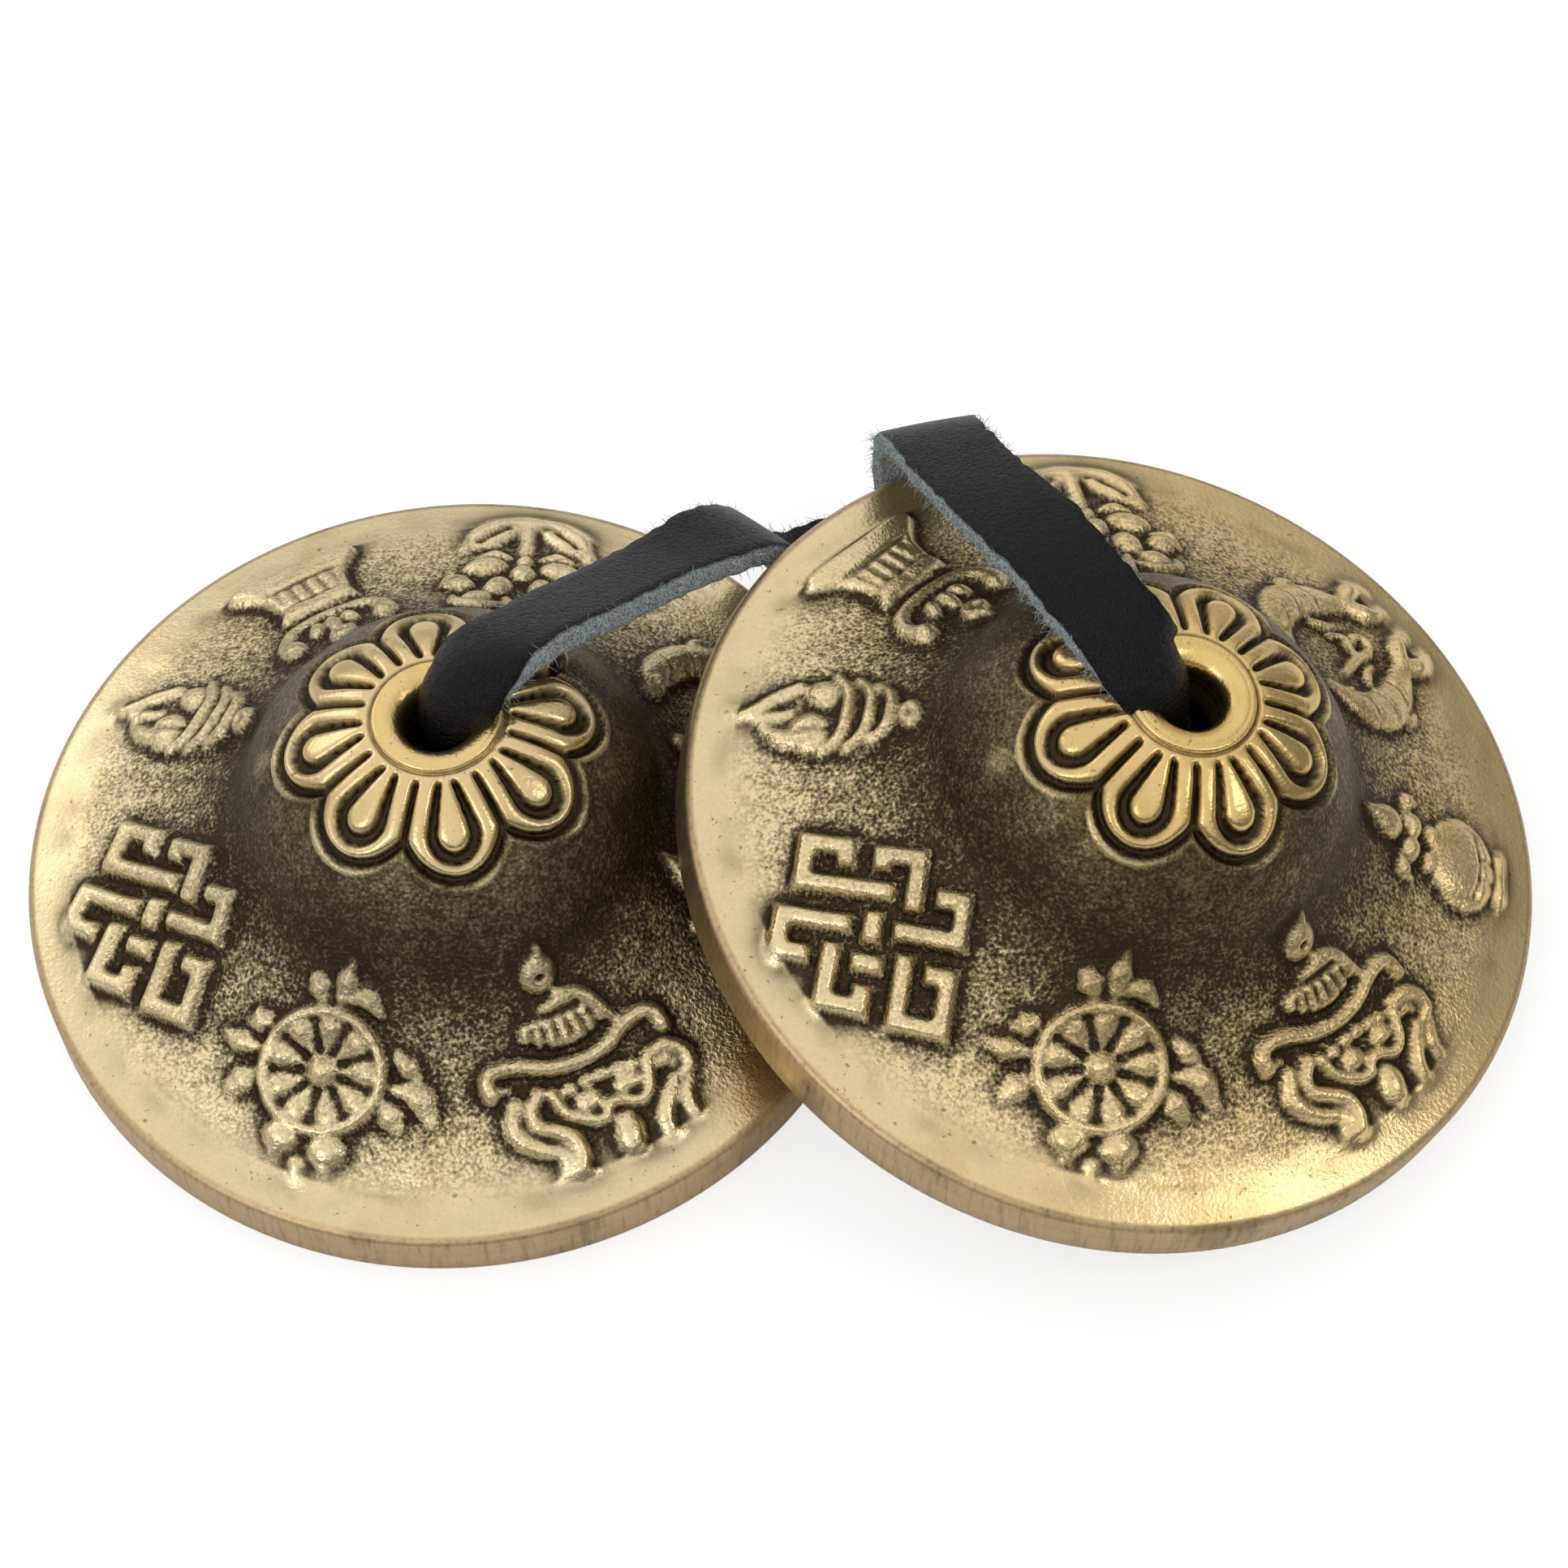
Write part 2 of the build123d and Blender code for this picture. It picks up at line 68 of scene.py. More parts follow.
# Turn of the right cymbal's symbols against the left one's
RIGHT_SPIN = math.radians(14.0)

# The strap's route in millimetres: up the left hole, over the left dome and down behind the rims
LEFT_ROUTE = (
    (-24.5, 0.0, 17.4),
    (-24.5, 0.0, 21.2),
    (-24.1, 0.4, 24.0),
    (-21.9, 2.7, 25.8),
    (-17.7, 7.2, 24.1),
    (-12.4, 12.9, 20.6),
    (-8.0, 17.6, 18.0),
    (-4.2, 21.6, 16.0),
    (-1.6, 23.8, 12.4),
    (-0.9, 25.0, 7.0),
    (1.2, 26.4, 4.0),
    (4.4, 28.6, 2.9),
    (9.3, 31.5, 2.9),
    (9.6, 31.4, 6.6),
)
# Up the right hole, over the right dome to the fold above the back of its rim, and down behind it
RIGHT_ROUTE = (
    (27.4, -0.7, 23.4),
    (27.75, -0.75, 26.6),
    (26.9, -0.8, 30.2),
    (24.9, 0.3, 31.7),
    (21.8, 4.9, 31.4),
    (18.45, 10.6, 30.7),
    (14.9, 16.2, 28.4),
    (12.4, 21.4, 25.7),
    (11.2, 24.9, 23.7),
    (10.6, 27.4, 21.2),
    (10.2, 30.0, 16.6),
    (9.9, 31.2, 11.0),
    (9.6, 31.4, 6.6),
)
# Azimuth of the strap's width and its roll in degrees, at shares of each length
LEFT_TURNS = ((0.0, -43.0), (0.7, -43.0), (1.0, -105.0))
LEFT_ROLLS = ((0.06, 0.0), (0.25, 24.0), (0.45, 22.0), (0.6, 8.0), (0.75, 0.0))
RIGHT_TURNS = (
    (0.0, 62.0),
    (0.16, 62.0),
    (0.38, 34.0),
    (0.6, 28.0),
    (0.74, 14.0),
    (0.8, 14.0),
    (1.0, 75.0),
)
RIGHT_ROLLS = ((0.0, 0.0), (1.0, 0.0))

# Lamps: name, place, size and the setting that holds its power
LAMPS = (
    ("key", (-0.30, -0.36, 0.40), (0.24, 0.24), "key_power"),
    ("side", (-0.42, 0.28, 0.30), (0.30, 0.22), "fill_power"),
    ("edge", (0.36, -0.08, 0.37), (0.16, 0.16), "edge_power"),
)
LAMP_TARGET = (0.0, 0.0, 0.01)
FLOOR_SIZE = 20.0
FLOOR_GLOW = 1.2
CAMERA_EYE = Vector((2.42, -123.2, 217.6)) * MM
CAMERA_VIEW = Vector((-0.009, 0.519, -0.855))
SENSOR_WIDTH = 36.0
NEAREST_SEEN = 0.01
BLACK = (0.0, 0.0, 0.0)
WHITE = (1.0, 1.0, 1.0)


def length_property(label, description, default):
    """A length in metres that a user may change."""
    return bpy.props.FloatProperty(
        name=label, description=description, default=default, unit="LENGTH", subtype="DISTANCE", precision=5
    )


def colour_property(label, description, default):
    """A linear colour that a user may change."""
    return bpy.props.FloatVectorProperty(
        name=label, description=description, default=default, subtype="COLOR", size=3, min=0.0, max=1.0
    )


def factor_property(label, description, default):
    """A share from 0 to 1 that a user may change."""
    return bpy.props.FloatProperty(
        name=label, description=description, default=default, subtype="FACTOR", min=0.0, max=1.0
    )


def power_property(label, description, default):
    """A lamp's power in watts that a user may change."""
    return bpy.props.FloatProperty(name=label, description=description, default=default, unit="POWER")


class TINGSHA_PG_cymbal(bpy.types.PropertyGroup):
    """Sizes and colours of one cymbal."""

    diameter: length_property("Diameter", "Across the rim", 0.065)
    rim_thickness: length_property("Rim thickness", "Height of the turned rim", 0.0045)
    lip_width: length_property("Lip width", "Polished band inside the rim", 0.0035)
    lip_rise: length_property("Lip rise", "Rise of the plate across the lip", 0.0009)
    foot_radius: length_property("Dome foot radius", "Where the plate meets the dome", 0.0156)
    foot_height: length_property("Dome foot height", "Height of the dome's foot", 0.0126)
    dome_height: length_property("Dome height", "Height of the shoulder round the hole", 0.023)
    collar_radius: length_property("Collar radius", "Outside of the smooth collar", 0.0046)
    hole_radius: length_property("Hole radius", "Strap hole", 0.0029)
    symbol_height: length_property("Symbol height", "How far the symbols stand out of the plate", 0.00105)
    petal_height: length_property("Petal height", "How far the petals stand out of the dome", 0.00028)
    groove_depth: length_property("Groove depth", "Depth of the grooves between the petals", 0.00055)
    brass: colour_property("Brass", "Polished cast brass", (0.83, 0.68, 0.40))
    gilt: colour_property("Gilt", "Warm, much handled brass of collar and petals", (0.82, 0.58, 0.22))
    # Patina colour, used also for the painted shade over the dome and in the hollow at its foot
    patina_and_shade_colour: colour_property("Patina", "Dark patina left in the hollows", (0.042, 0.028, 0.014))
    turned: colour_property("Turned rim", "Dull brown brass of the turned rim", (0.60, 0.44, 0.24))


class TINGSHA_PG_strap(bpy.types.PropertyGroup):
    """Sizes and colours of the leather strap."""

    width: length_property("Width", "Flat width of the strap", 0.007)
    thickness: length_property("Thickness", "Thickness of the leather", 0.0018)
    mouth_width: length_property("Width in the hole", "Width that the strap curls to in a hole", 0.0048)
    fibre_length: length_property("Fibre length", "Longest loose fibre on the cut edges", 0.0011)
    fibre_thickness: length_property("Fibre thickness", "Half thickness of a loose fibre", 0.000032)
    fibre_density: bpy.props.FloatProperty(
        name="Fibre density", description="Fibres on a square metre of cut edge", default=9e6
    )
    knot_ring: length_property("Knot ring", "Radius of the ring that the knot winds round", 0.0031)
    knot_swell: length_property("Knot swell", "How far the knot's turns stand from that ring", 0.0015)
    knot_band: length_property("Knot band", "Width of the strap drawn up in the knot", 0.0052)
    knot_height: length_property("Knot height", "Height of the knot's middle in its cymbal", 0.0142)
    tail_length: length_property("Tail length", "Cut end below the knot's middle", 0.0088)
    leather: colour_property("Leather", "Dyed grain face", (0.0035, 0.0035, 0.004))
    scuffed: colour_property("Scuffed leather", "Grain where the dye is rubbed", (0.02, 0.021, 0.025))
    flesh: colour_property("Cut edge", "Blue-grey nap of the cut edges", (0.50, 0.56, 0.57))
    deep_flesh: colour_property("Deep nap", "Dark hollows of the nap", (0.15, 0.18, 0.19))


class TINGSHA_PG_stage(bpy.types.PropertyGroup):
    """Floor, lamps and camera."""

    floor: colour_property("Floor", "Plain pale floor", (0.93, 0.93, 0.93))
    whiteness: factor_property("Whiteness", "How far the floor is lifted to white in the picture", 0.6)
    key_power: power_property("Key power", "Watts of the front lamp", 0.36)
    fill_power: power_property("Fill power", "Watts of the side lamp", 0.2)
    edge_power: power_property("Edge power", "Watts of the right lamp", 0.22)
    sky: factor_property("Sky", "Level of the soft surround", 0.96)
    lens: bpy.props.FloatProperty(
        name="Lens", description="Focal length in millimetres", default=74.53, unit="CAMERA"
    )


class Term:
    """A shader socket that adds a Math node wherever an operator meets it."""

    def __init__(self, paint, socket):
        self.paint = paint
        self.socket = socket

    def math(self, operation, *values):
        """The result of a Math node on terms or numbers."""
        node = self.paint.node("ShaderNodeMath", {"operation": operation}, dict(enumerate(values)))
        return Term(self.paint, node.outputs[0])

    def __add__(self, other):
        return self.math("ADD", self, other)

    def __radd__(self, other):
        return self.math("ADD", other, self)

    def __sub__(self, other):
        return self.math("SUBTRACT", self, other)

    def __rsub__(self, other):
        return self.math("SUBTRACT", other, self)

    def __mul__(self, other):
        return self.math("MULTIPLY", self, other)

    def __rmul__(self, other):
        return self.math("MULTIPLY", other, self)

    def __pow__(self, other):
        return self.math("POWER", self, other)

    def clamped(self):
        """The term held between 0 and 1."""
        return self.math("MINIMUM", self.math("MAXIMUM", self, 0.0), 1.0)

    def step(self, low, high):
        """0 below low, 1 above high, smooth between."""
        node = self.paint.node(
            "ShaderNodeMapRange",
            {"interpolation_type": "SMOOTHSTEP"},
            {"Value": self, "From Min": low, "From Max": high},
        )
        return Term(self.paint, node.outputs[0])


class Nodes:
    """A node tree under construction."""

    def __init__(self, tree):
        self.tree = tree

    def node(self, kind, settings=None, sockets=None):
        """Adds a node: settings first, then the values or links of its sockets."""
        node = self.tree.nodes.new(kind)
        for key, value in (settings or {}).items():
            setattr(node, key, value)
        for key, value in (sockets or {}).items():
            self.feed(node.inputs[key], value)
        return node

    def feed(self, socket, value):
        """Links a term or socket into a socket, or sets its value."""
        if isinstance(value, Term):
            value = value.socket
        if isinstance(value, bpy.types.NodeSocket):
            self.tree.links.new(value, socket)
        elif socket.type == "RGBA":
            socket.default_value = (*value[:3], 1.0)
        else:
            socket.default_value = value


class Paint(Nodes):
    """The nodes of a material or world."""

    def __init__(self, block):
        block.use_nodes = True
        super().__init__(block.node_tree)
        self.block = block
        self.shader = self.tree.nodes[0]
        self.output = self.tree.nodes[1]

    def attribute(self, name):
        """A float attribute of the mesh."""
        return Term(self, self.node("ShaderNodeAttribute", {"attribute_name": name}).outputs["Fac"])

    def object_place(self):
        """Object coordinates."""
        return self.node("ShaderNodeTexCoord").outputs["Object"]

    def axis(self, place, name):
        """One coordinate of a place."""
        return Term(self, self.node("ShaderNodeSeparateXYZ", None, {0: place}).outputs[name])

    def stretched(self, place, scale):
        """A place scaled along its axes."""
        return self.node("ShaderNodeMapping", None, {"Vector": place, "Scale": scale}).outputs[0]

    def noise(self, place, scale, detail, roughness=0.5):
        """Noise from 0 to 1 at so many cells a metre."""
        sockets = {"Vector": place, "Scale": scale, "Detail": detail, "Roughness": roughness}
        return Term(self, self.node("ShaderNodeTexNoise", None, sockets).outputs[0])

    def lines(self, place, scale):
        """Noise that changes along one value only."""
        sockets = {"W": place, "Scale": scale, "Detail": 3.0, "Roughness": 0.6}
        return Term(self, self.node("ShaderNodeTexNoise", {"noise_dimensions": "1D"}, sockets).outputs[0])

    def cells(self, place, scale):
        """Distance to the borders of random cells."""
        settings = {"feature": "DISTANCE_TO_EDGE"}
        node = self.node("ShaderNodeTexVoronoi", settings, {"Vector": place, "Scale": scale})
        return Term(self, node.outputs["Distance"])

    def blend(self, share, first, second):
        """Colour first where share is 0 and second where it is 1."""
        node = self.node("ShaderNodeMix", {"data_type": "RGBA"}, {0: share, 6: first, 7: second})
        return node.outputs[2]

    def bump(self, height, distance, strength, below=None):
        """A normal from a height field, over an earlier normal where one is given."""
        sockets = {"Strength": strength, "Distance": distance, "Height": height}
        if below is not None:
            sockets["Normal"] = below
        return self.node("ShaderNodeBump", None, sockets).outputs[0]

    def finish(self, **sockets):
        """Sets the shader's own sockets, with spaces for underlines in their names."""
        for key, value in sockets.items():
            self.feed(self.shader.inputs[key.replace("_", " ")], value)
        return self.block


def smooth(value, low, high):
    """0 below low, 1 above high, smooth between."""
    t = np.clip((value - low) / (high - low), 0.0, 1.0)
    return t * t * (3.0 - 2.0 * t)


def ridge_share(place, power):
    """1 on a ridge's crest, falling to 0 where place reaches -1 or 1."""
    return np.clip(1.0 - place**2, 0.0, 1.0) ** power


def unit(vectors):
    """Vectors made one long."""
    return vectors / np.linalg.norm(vectors, axis=1)[:, None]


def eased(share, stations):
    """Value at a share between stations of (share, value), level at each station."""
    value = np.full_like(share, stations[0][1])
    for (start, before), (end, after) in zip(stations, stations[1:]):
        value += (after - before) * smooth(share, start, end)
    return value


def curve_through(points, steps=8):
    """A smooth line through a few points."""
    points = np.array(points, float)
    if len(points) < 3:
        return points
    ends = np.vstack([2 * points[0] - points[1], points, 2 * points[-1] - points[-2]])
    t = np.linspace(0.0, 1.0, steps, endpoint=False)[:, None]
    spans = []
    for a, b, c, d in zip(ends, ends[1:], ends[2:], ends[3:]):
        spans.append(
            0.5 * (2 * b + (c - a) * t + (2 * a - 5 * b + 4 * c - d) * t**2 + (3 * b - a - 3 * c + d) * t**3)
        )
    return np.vstack(spans + [points[-1:]])


class Clay:
    """Relief modelled on a patch of plate: x along the rim, y towards the dome, 1 at its full height."""

    # How much of its height a ridge keeps where it is narrow, and how full its section is
    NARROW_HEIGHT = 0.55
    FULLNESS = 0.55

    def __init__(self, x, y):
        self.x = x
        self.y = y
        self.height = np.zeros_like(x)
        self.centre = (0.0, 0.0)
        self.turn = 0.0
        self.mirror = 1.0

    def local(self):
        """Coordinates about the present centre, turned and mirrored with it."""
        c, s = math.cos(self.turn), math.sin(self.turn)
        x = self.x - self.centre[0]
        y = self.y - self.centre[1]
        return (x * c + y * s) * self.mirror, y * c - x * s

    def place(self, x, y, turn=0.0, mirror=1.0):
        """What follows is drawn about this point."""
        self.centre = (x, y)
        self.turn = math.radians(turn)
        self.mirror = mirror

    def raise_to(self, height):
        """Lifts the clay to a height where it is lower."""
        self.height = np.maximum(self.height, height)

    def lower_by(self, depth):
        """Sinks the clay by a depth, but not below the plate."""
        self.height = np.maximum(self.height - depth, np.minimum(self.height, 0.0))

    def along(self, points, straight=False):
        """Distance to a line and how far along it the nearest point lies, from 0 to 1."""
        line = np.array(points, float) if straight else curve_through(points)
        x, y = self.local()
        lengths = np.hypot(*np.diff(line, axis=0).T)
        starts = np.concatenate([[0.0], np.cumsum(lengths)])
        best = np.full_like(x, 1e9)
        place = np.zeros_like(x)
        for (ax, ay), (bx, by), start, length in zip(line, line[1:], starts, lengths):
            t = ((x - ax) * (bx - ax) + (y - ay) * (by - ay)) / length**2
            t = np.clip(t, 0.0, 1.0)
            distance = np.hypot(x - ax - t * (bx - ax), y - ay - t * (by - ay))
            nearer = distance < best
            best = np.where(nearer, distance, best)
            place = np.where(nearer, (start + t * length) / starts[-1], place)
        return best, place

    def ridge(self, points, widths, height):
        """A rounded ridge whose half width follows widths from its start to its end."""
        distance, place = self.along(points)
        widths = np.atleast_1d(widths)
        width = np.interp(place, np.linspace(0.0, 1.0, len(widths)), widths)
        narrow = np.clip(width / widths.max(), self.NARROW_HEIGHT, 1.0)
        self.raise_to(height * narrow * ridge_share(distance / width, self.FULLNESS))

    def cut(self, points, width, depth):
        """A groove cut into what is there."""
        distance, _ = self.along(points)
        self.lower_by(depth * ridge_share(distance / width, 1.0))

    def boss(self, centre, semi_axes, height, lean=0.0, power=0.5):
        """A rounded oval pad."""
        x, y = self.local()
        c, s = math.cos(math.radians(lean)), math.sin(math.radians(lean))
        u = (x - centre[0]) * c + (y - centre[1]) * s
        v = (y - centre[1]) * c - (x - centre[0]) * s
        share = np.clip(1.0 - (u / semi_axes[0]) ** 2 - (v / semi_axes[1]) ** 2, 0.0, 1.0)
        self.raise_to(height * share**power)

    def ring(self, centre, radius, half_width, height):
        """A rounded ring."""
        x, y = self.local()
        distance = np.abs(np.hypot(x - centre[0], y - centre[1]) - radius)
        self.raise_to(height * ridge_share(distance / half_width, 0.5))

    def pit(self, centre, radius, depth):
        """A round hollow pressed into what is there."""
        x, y = self.local()
        share = np.clip(1.0 - ((x - centre[0]) ** 2 + (y - centre[1]) ** 2) / radius**2, 0.0, 1.0)
        self.lower_by(depth * share)

    def slab(self, outline, height, bevel):
        """A flat pad with a closed outline and bevelled edges."""
        loop = curve_through([*outline, outline[0]], 6)
        x, y = self.local()
        inside = np.zeros(x.shape, bool)
        for (ax, ay), (bx, by) in zip(loop, loop[1:]):
            crosses = (ay > y) != (by > y)
            rise = by - ay if by != ay else 1e-9
            inside ^= crosses & (x < (bx - ax) * (y - ay) / rise + ax)
        distance, _ = self.along(loop, straight=True)
        self.raise_to(height * np.where(inside, smooth(distance, 0.0, bevel), 0.0))

    def band(self, corners, half_width, bevel=0.6):
        """A flat band with square corners along level and upright runs."""
        x, y = self.local()
        last = len(corners) - 2
        for k, ((ax, ay), (bx, by)) in enumerate(zip(corners, corners[1:])):
            length = math.hypot(bx - ax, by - ay)
            ux, uy = (bx - ax) / length, (by - ay) / length
            along = (x - ax) * ux + (y - ay) * uy
            across = np.abs((x - ax) * uy - (y - ay) * ux)
            before = 0.0 if k == 0 else half_width
            after = 0.0 if k == last else half_width
            room = np.minimum(np.minimum(along + before, length + after - along), half_width - across)
            self.raise_to(smooth(room, 0.0, bevel))


def wheel(clay):
    """Wheel: a round rim, a hub, nine wedge spokes and four tufts of flame."""
    clay.place(-0.8, 0.5)
    clay.ring((0, 0), 4.4, 0.56, 0.95)
    clay.boss((0, 0), (1.15, 1.15), 1.05)
    clay.ring((0, 0), 1.05, 0.25, 0.6)
    for k in range(9):
        angle = math.radians(15 + 40 * k)
        inner = (1.55 * math.cos(angle), 1.55 * math.sin(angle))
        outer = (3.3 * math.cos(angle), 3.3 * math.sin(angle))
        clay.ridge([inner, outer], (0.3, 0.85, 1.2), 0.9)
    clay.ridge([(-1.5, 5.3), (-2.2, 6.4)], (0.83, 1.17, 0.83), 0.9)
    clay.ridge([(0.0, 5.6), (0.0, 7.0), (0.2, 8.3)], (0.83, 1.03, 0.41), 0.9)
    clay.ridge([(0.7, 5.6), (1.7, 6.0), (2.9, 5.2)], (0.69, 1.03, 0.48), 0.9)
    clay.ridge([(5.1, 2.7), (6.8, 1.9)], (0.69, 1.03, 0.48), 0.85)
    clay.ridge([(5.4, 0.4), (7.2, 0.6), (8.7, -0.9)], (0.55, 1.31, 0.55), 0.95)
    clay.ridge([(5.1, -0.9), (6.4, -2.1)], (0.69, 1.17, 0.69), 0.85)
    clay.ridge([(-1.25, -5.5), (-1.3, -6.7)], (1.59, 1.24, 0.41), 0.95)
    clay.ridge([(2.2, -5.5), (2.5, -6.8)], (1.59, 1.24, 0.41), 0.95)
    clay.ridge([(0.5, -6.9), (0.7, -7.9)], (0.69, 0.41), 0.55)
    clay.ridge([(-5.2, 2.4), (-6.2, 2.0)], (0.83, 1.24, 0.69), 0.85)
    clay.ridge([(-5.3, 0.3), (-6.6, 0.4), (-8.0, 0.7)], (0.62, 1.03, 0.48), 0.9)
    clay.ridge([(-4.9, -1.6), (-6.0, -2.9)], (0.69, 1.24, 0.83), 0.85)


def endless_knot(clay):
    """Endless knot: three bands each way, woven over and under, with square loops."""
    clay.place(-0.75, -0.45, turn=45)
    c, b, a = -2.65, 0.0, 2.7
    top, middle, low = 2.7, 0.0, -2.65
    gap = 1.2
    half_width = 1.0
    bands = (
        [(c, top + gap), (c, 5.7), (-5.6, 5.7), (-5.6, top), (a - gap, top)],
        [(b, top + gap), (b, 5.4), (a, 5.4), (a, middle + gap)],
        [(a + gap, top), (6.3, top), (6.3, middle), (b + gap, middle)],
        [(b, top - gap), (b, low + gap)],
        [(b - gap, middle), (-6.5, middle), (-6.5, low), (c - gap, low)],
        [(c, middle - gap), (c, -5.8), (b, -5.8), (b, low - gap)],
        [(c + gap, low), (a - gap, low)],
        [(a, middle - gap), (a, -6.3), (6.0, -6.3), (6.0, low), (a + gap, low)],
    )
    for corners in bands:
        clay.band(corners, half_width)


def parasol(clay):
    """Parasol: a ribbed canopy with a finial, a valance of two scallops, ribbons and a drop."""
    crown = [(-3.6, 3.4), (-2.9, 4.9), (-1.0, 5.6), (0.6, 6.2), (2.4, 5.0)]
    hem = [(3.7, 3.0), (2.4, 2.0), (0.3, 1.6), (-1.9, 2.1)]
    clay.slab(crown + hem, 0.85, 0.8)
    clay.ridge([(0.5, 5.9), (2.3, 4.9), (3.7, 2.7)], (0.5, 0.7, 0.5), 0.95)
    clay.cut([(-2.5, 5.0), (-0.6, 4.5), (1.6, 4.5)], 0.5, 0.55)
    for x in (-2.2, -1.3, -0.4, 0.5, 1.4, 2.3):
        clay.cut([(x * 1.15, 2.4), (x * 0.95, 3.9)], 0.26, 0.5)
    brim_left = [(-6.4, 0.9), (-6.4, 1.9), (-5.5, 2.4), (-4.0, 2.0), (-2.0, 1.0), (0.3, 0.55)]
    brim_right = [(2.5, 0.9), (4.2, 1.9), (5.6, 2.3), (6.6, 2.0), (6.9, 0.9)]
    clay.ridge(brim_left + brim_right, (0.78, 0.74, 0.66, 0.66, 0.74, 0.78), 1.0)
    clay.ridge([(-6.3, 0.9), (-5.2, 0.7)], (0.5, 0.35), 0.8)
    clay.boss((-0.2, 7.7), (1.45, 1.7), 1.0, lean=-12)
    clay.pit((-0.2, 7.5), 0.42, 0.7)
    clay.ridge([(0.1, 8.6), (0.3, 9.9)], (0.7, 0.35), 0.9)
    first_scallop = [(-2.5, -0.9), (-2.0, -2.6), (-0.7, -3.7), (0.5, -4.0), (1.0, -3.2)]
    second_scallop = [(1.9, -3.2), (3.3, -3.8), (4.3, -3.0), (4.8, -1.2)]
    clay.ridge(first_scallop + second_scallop, (0.55,), 0.85)
    clay.boss((-0.2, -2.4), (1.25, 0.95), 0.75)
    clay.boss((3.0, -2.2), (1.35, 0.8), 0.75)
    for x in (-1.2, 0.2, 1.4, 2.6, 3.6):
        clay.boss((x, -0.9 - 0.1 * abs(x - 1)), (0.72, 0.6), 0.6)
    ribbon_head = [(-3.4, -0.5), (-4.3, -1.5), (-4.3, -2.6), (-3.2, -3.5)]
    ribbon_tail = [(-2.3, -4.4), (-2.1, -5.6), (-2.7, -6.9)]
    clay.ridge(ribbon_head + ribbon_tail, (0.68, 0.68, 0.75, 0.7), 0.95)
    outer_ribbon = [(-5.2, -0.5), (-5.9, -1.9), (-5.6, -3.2), (-4.6, -4.3), (-3.7, -4.9)]
    clay.ridge(outer_ribbon, (0.75, 0.8, 0.65), 0.8)
    clay.ridge([(-3.6, -4.7), (-3.2, -5.6), (-3.7, -6.7)], (0.65, 0.9, 0.6), 0.7)
    right_ribbon = [(5.0, -0.9), (6.4, -0.7), (7.5, -1.4), (7.7, -2.6), (7.0, -3.1)]
    clay.ridge(right_ribbon, (0.6, 0.75, 0.72, 0.5), 0.9)
    clay.ridge([(5.2, -1.8), (6.2, -1.7), (6.6, -2.3)], (0.5, 0.6, 0.4), 0.7)
    clay.ridge([(6.2, -3.3), (5.2, -4.4), (4.5, -5.6), (4.4, -7.0)], (0.65, 0.8, 0.8, 0.6), 0.7)
    clay.ridge([(7.3, -3.6), (6.5, -4.8), (6.6, -6.2)], (0.55, 0.8, 0.5), 0.6)
    clay.boss((1.6, -5.7), (1.2, 1.85), 1.0, lean=-8)


def conch(clay):
    """Conch: a small spire, three coils, a swollen faceted body and a long canal."""
    right_side = [(-3.2, 4.2), (0.0, 5.6), (3.1, 4.4), (3.8, 1.5), (3.3, -1.8), (1.9, -4.6)]
    left_side = [(0.9, -7.4), (-0.6, -5.4), (-2.4, -3.2), (-3.5, 0.2)]
    clay.slab(right_side + left_side, 0.28, 0.8)
    clay.boss((0.3, 6.2), (1.35, 1.2), 0.95)
    clay.pit((0.4, 6.3), 0.5, 0.35)
    for reach, half in ((4.7, 2.3), (3.0, 2.9), (1.2, 3.3)):
        rising = [(-half, reach - 1.5), (-0.5 * half, reach - 0.2), (0.3, reach)]
        falling = [(0.6 * half, reach - 0.3), (half, reach - 1.5)]
        clay.ridge(rising + falling, (0.45, 0.66, 0.72, 0.66, 0.45), 1.1)
    clay.boss((1.7, -1.5), (1.9, 1.75), 1.05, lean=20)
    clay.boss((-1.6, -1.0), (1.35, 1.6), 0.9, lean=-20)
    clay.cut([(1.3, -0.2), (1.9, -2.9)], 0.3, 0.4)
    clay.ridge([(2.4, -2.6), (2.3, -3.8), (1.6, -5.2)], (0.9, 0.8, 0.4), 0.85)
    clay.ridge([(-2.2, -2.9), (-1.0, -4.6), (0.4, -6.2), (1.0, -7.8)], (0.6, 0.7, 0.65, 0.35), 0.85)
    clay.ridge([(0.2, -3.2), (0.7, -4.6), (1.0, -5.8)], (0.5, 0.65, 0.4), 0.75)


